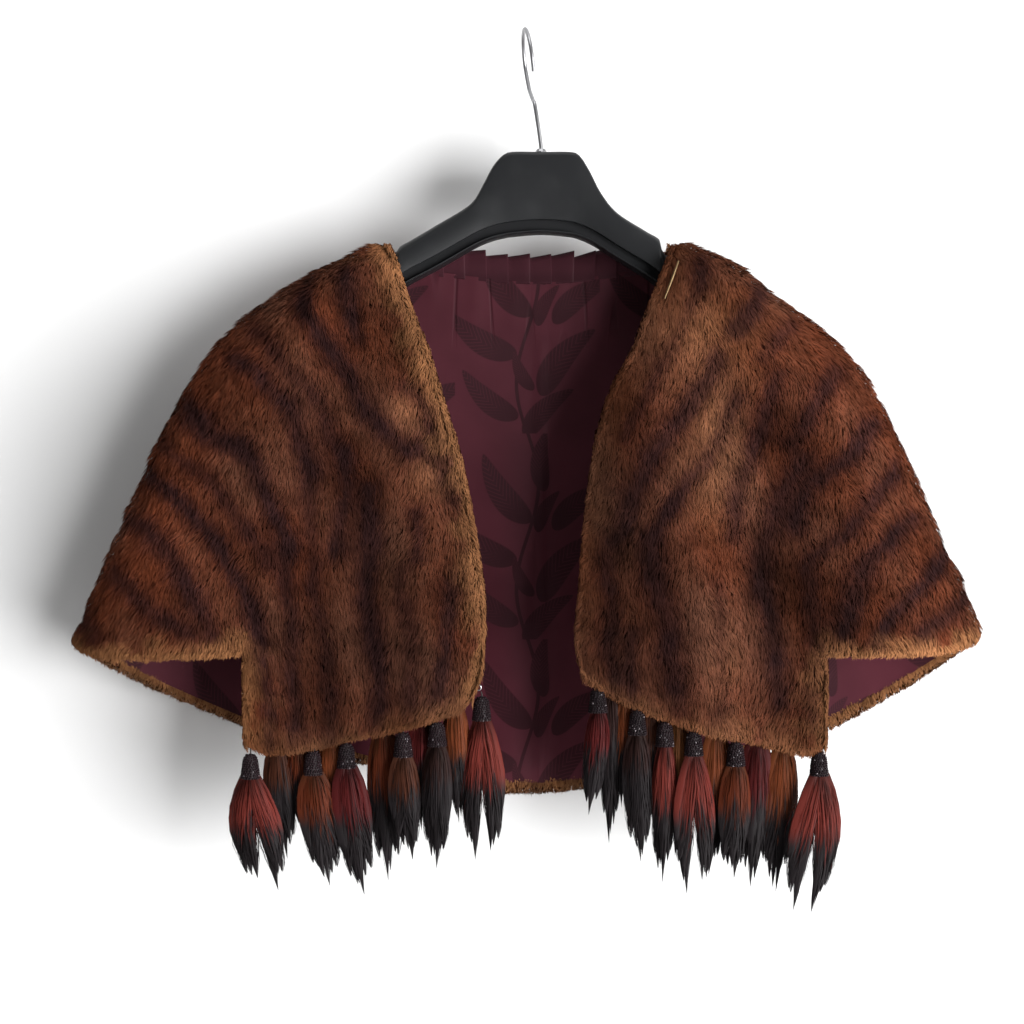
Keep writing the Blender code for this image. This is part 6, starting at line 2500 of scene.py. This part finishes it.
@dataclass
class Stage:
    """A white wall that sweeps into a pale floor, with a soft shadow painted on the wall, soft
    lights and the camera.
    """

    wall_y: float = 0.066
    floor_z: float = -0.95
    sweep: float = 0.12
    sweep_steps: int = 12
    half_width: float = 3.0
    wall_top: float = 1.6
    floor_front: float = -3.2
    # The wall's own grey, and the painted shadow's grey, middle and size in metres
    card_level: float = 0.72
    shadow_level: float = 0.49
    shadow_middle: tuple[float, float] = (-0.33, -0.37)
    shadow_size: tuple[float, float] = (0.17, 0.165)
    sky_level: float = 0.085
    aim: tuple[float, float, float] = (0.0, 0.0, -0.38)
    camera_place: tuple[float, float, float] = (-0.0096, -1.35, -0.384)
    lens: float = 59.3

    # Each softbox: its name, place, side in metres and power in watts
    LIGHTS = (
        ("key", (3.55, -3.35, -1.15), 3.4, 590.0), ("front_fill", (-0.8, -2.3, 0.1), 1.6, 3.0),
        ("top", (0.0, -0.6, 1.1), 1.0, 11.0), ("rear", (0.2, 2.6, 0.8), 1.8, 60.0),
    )

    def backdrop(self) -> None:
        """Makes the wall and floor, which show from their front only, with a soft shadow painted
        on the wall left of the stole.
        """
        line = [(self.floor_front, self.floor_z)]
        for step in range(self.sweep_steps + 1):
            angle = math.pi / 2 * step / self.sweep_steps
            line.append((self.wall_y - self.sweep + self.sweep * math.sin(angle),
                         self.floor_z + self.sweep - self.sweep * math.cos(angle)))
        line.append((self.wall_y, self.wall_top))
        points = [(x / MM, y / MM, z / MM) for y, z in line
                  for x in (-self.half_width, self.half_width)]
        faces = [(2 * k, 2 * k + 1, 2 * k + 3, 2 * k + 2) for k in range(len(line) - 1)]
        made, board, shader = blank_material("backdrop_painted_shadow")
        # A painted shadow: a soft grey ellipse on the wall
        x, _, z = board.split(board.place())
        beside, above = (
            board.sum("DIVIDE", board.sum("SUBTRACT", place, middle), size)
            for place, middle, size in zip((x, z), self.shadow_middle, self.shadow_size))
        gap = board.sum("ADD", board.sum("MULTIPLY", beside, beside),
                        board.sum("MULTIPLY", above, above))
        shade = board.spread(board.sum("EXPONENT", board.sum("MULTIPLY", gap, -1.0)),
                             0.0, 1.0, self.card_level, self.shadow_level)
        board.fill(shader, {"Base Color": board.grey(shade), "Roughness": 0.9,
                            "Specular IOR Level": 0.1})
        clear = board.put("ShaderNodeBsdfTransparent").outputs[0]
        behind = board.put("ShaderNodeNewGeometry").outputs["Backfacing"]
        mixed = board.put("ShaderNodeMixShader", {0: behind, 1: shader.outputs[0], 2: clear})
        board.fill(made.node_tree.nodes["Material Output"], {"Surface": mixed.outputs[0]})
        backdrop = mesh_object("backdrop", np.array(points), faces, made, 180.0)
        if backdrop.data.polygons[-1].normal.y > 0:
            backdrop.data.flip_normals()
        backdrop.visible_shadow = False

    def light(self, name: str, place: tuple[float, float, float], size: float,
              power: float) -> None:
        """Adds a square white softbox, turned to the object.

        Args:
            name: Its name.
            place: Where it stands, in metres.
            size: Its side in metres.
            power: Its power in watts.
        """
        data = bpy.data.lights.new(name, "AREA")
        data.shape = "SQUARE"
        data.size = size
        data.energy = power
        made = bpy.data.objects.new(name, data)
        made.location = place
        way = np.array(self.aim) - np.array(place)
        made.rotation_euler = Vector(way).to_track_quat("-Z", "Y").to_euler()
        bpy.context.scene.collection.objects.link(made)

    def build(self) -> None:
        """Makes the backdrop, lights, world and camera."""
        self.backdrop()
        for softbox in self.LIGHTS:
            self.light(*softbox)
        world = bpy.data.worlds.new("studio")
        world.use_nodes = True
        background = world.node_tree.nodes["Background"]
        background.inputs["Color"].default_value = rgba((1.0, 1.0, 1.0))
        background.inputs["Strength"].default_value = self.sky_level
        scene = bpy.context.scene
        scene.world = world
        scene.view_settings.view_transform = "Standard"
        data = bpy.data.cameras.new("camera")
        data.lens = self.lens
        data.sensor_width = 36.0
        data.clip_end = 50.0
        camera = bpy.data.objects.new("camera", data)
        camera.location = self.camera_place
        camera.rotation_euler = (math.pi / 2, 0.0, 0.0)
        scene.collection.objects.link(camera)
        scene.camera = camera


# The hairs grown on each panel
PILE_COUNTS = {"front_left": 60000, "front_right": 60000, "sleeve_left": 48000,
               "sleeve_right": 48000, "back": 68000}


def dress_cloth(form: PeltForm, effects: Effects) -> None:
    """Makes the pelt, its pile and its lining in place of the plain cloth.

    Args:
        form: The stole's form, cut into panels.
        effects: The shared node groups.
    """
    marks = PeltMarks()
    fur = PeltFinish().material(effects)
    satin = LINING_SATIN.material(effects)
    for seed, (name, panel) in enumerate(form.panels.items()):
        skin, pile = PeltPanelPile(panel, marks, PILE_COUNTS[name], seed=40 + seed).build(fur)
        lining = Lining(panel).build(satin)
        for piece in (skin, pile, lining):
            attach(piece, BODY)
        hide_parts(f"fur_{name}")
        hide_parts(f"lining_{name}")
        LOG.info("%s: pelt, pile and lining", name)


def dress_hanger(effects: Effects) -> None:
    """Makes the hanger and its hook, and gives the collar and the ring their finish.

    Args:
        effects: The shared node groups.
    """
    moulding = Hanger().build(PLASTIC.material(effects), HOLLOW_PLASTIC_LIT.material(effects))
    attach(moulding, BODY)
    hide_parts("hanger_body")
    chrome = CHROME.material(effects)
    hook = WireHook().build(chrome)
    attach(hook, BODY)
    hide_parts("hanger_hook")
    for node in ("hook_ferrule", "corner_ring"):
        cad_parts[node].data.materials.clear()
        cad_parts[node].data.materials.append(chrome)
    LOG.info("hanger, hook, collar and ring")


def dress_neck(form: PeltForm, effects: Effects) -> None:
    """Makes the frill that stands behind the neck and the bar beside it.

    Args:
        form: The stole's form, cut into panels.
        effects: The shared node groups.
    """
    neck = slice(form.shoulder_columns, form.shoulder_columns + form.neck_columns + 1)
    frill = NeckFrill(form.panels["back"], neck).build(FRILL_SATIN.material(effects))
    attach(frill, BODY)
    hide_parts("neck_ruffle")
    bar = NeckBar().build(form.panels["front_right"], GILT_METAL.material(effects))
    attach(bar, BODY)
    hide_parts("neck_hook_bar")
    LOG.info("frill and bar")


def main() -> None:
    """Builds every piece round the frame."""
    logging.basicConfig(level=logging.INFO, format="%(name)s: %(message)s")
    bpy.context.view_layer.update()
    effects = Effects()
    form = PeltForm()
    form.cut()

    dress_hanger(effects)
    dress_cloth(form, effects)
    dress_neck(form, effects)
    Fringe(effects).build()
    Stage().build()

    triangles = sum(len(mesh.loops) - 2 * len(mesh.polygons) for mesh in bpy.data.meshes)
    LOG.info("%d triangles in all", triangles)
    LOG.info("done")


if __name__ == "__main__":
    main()
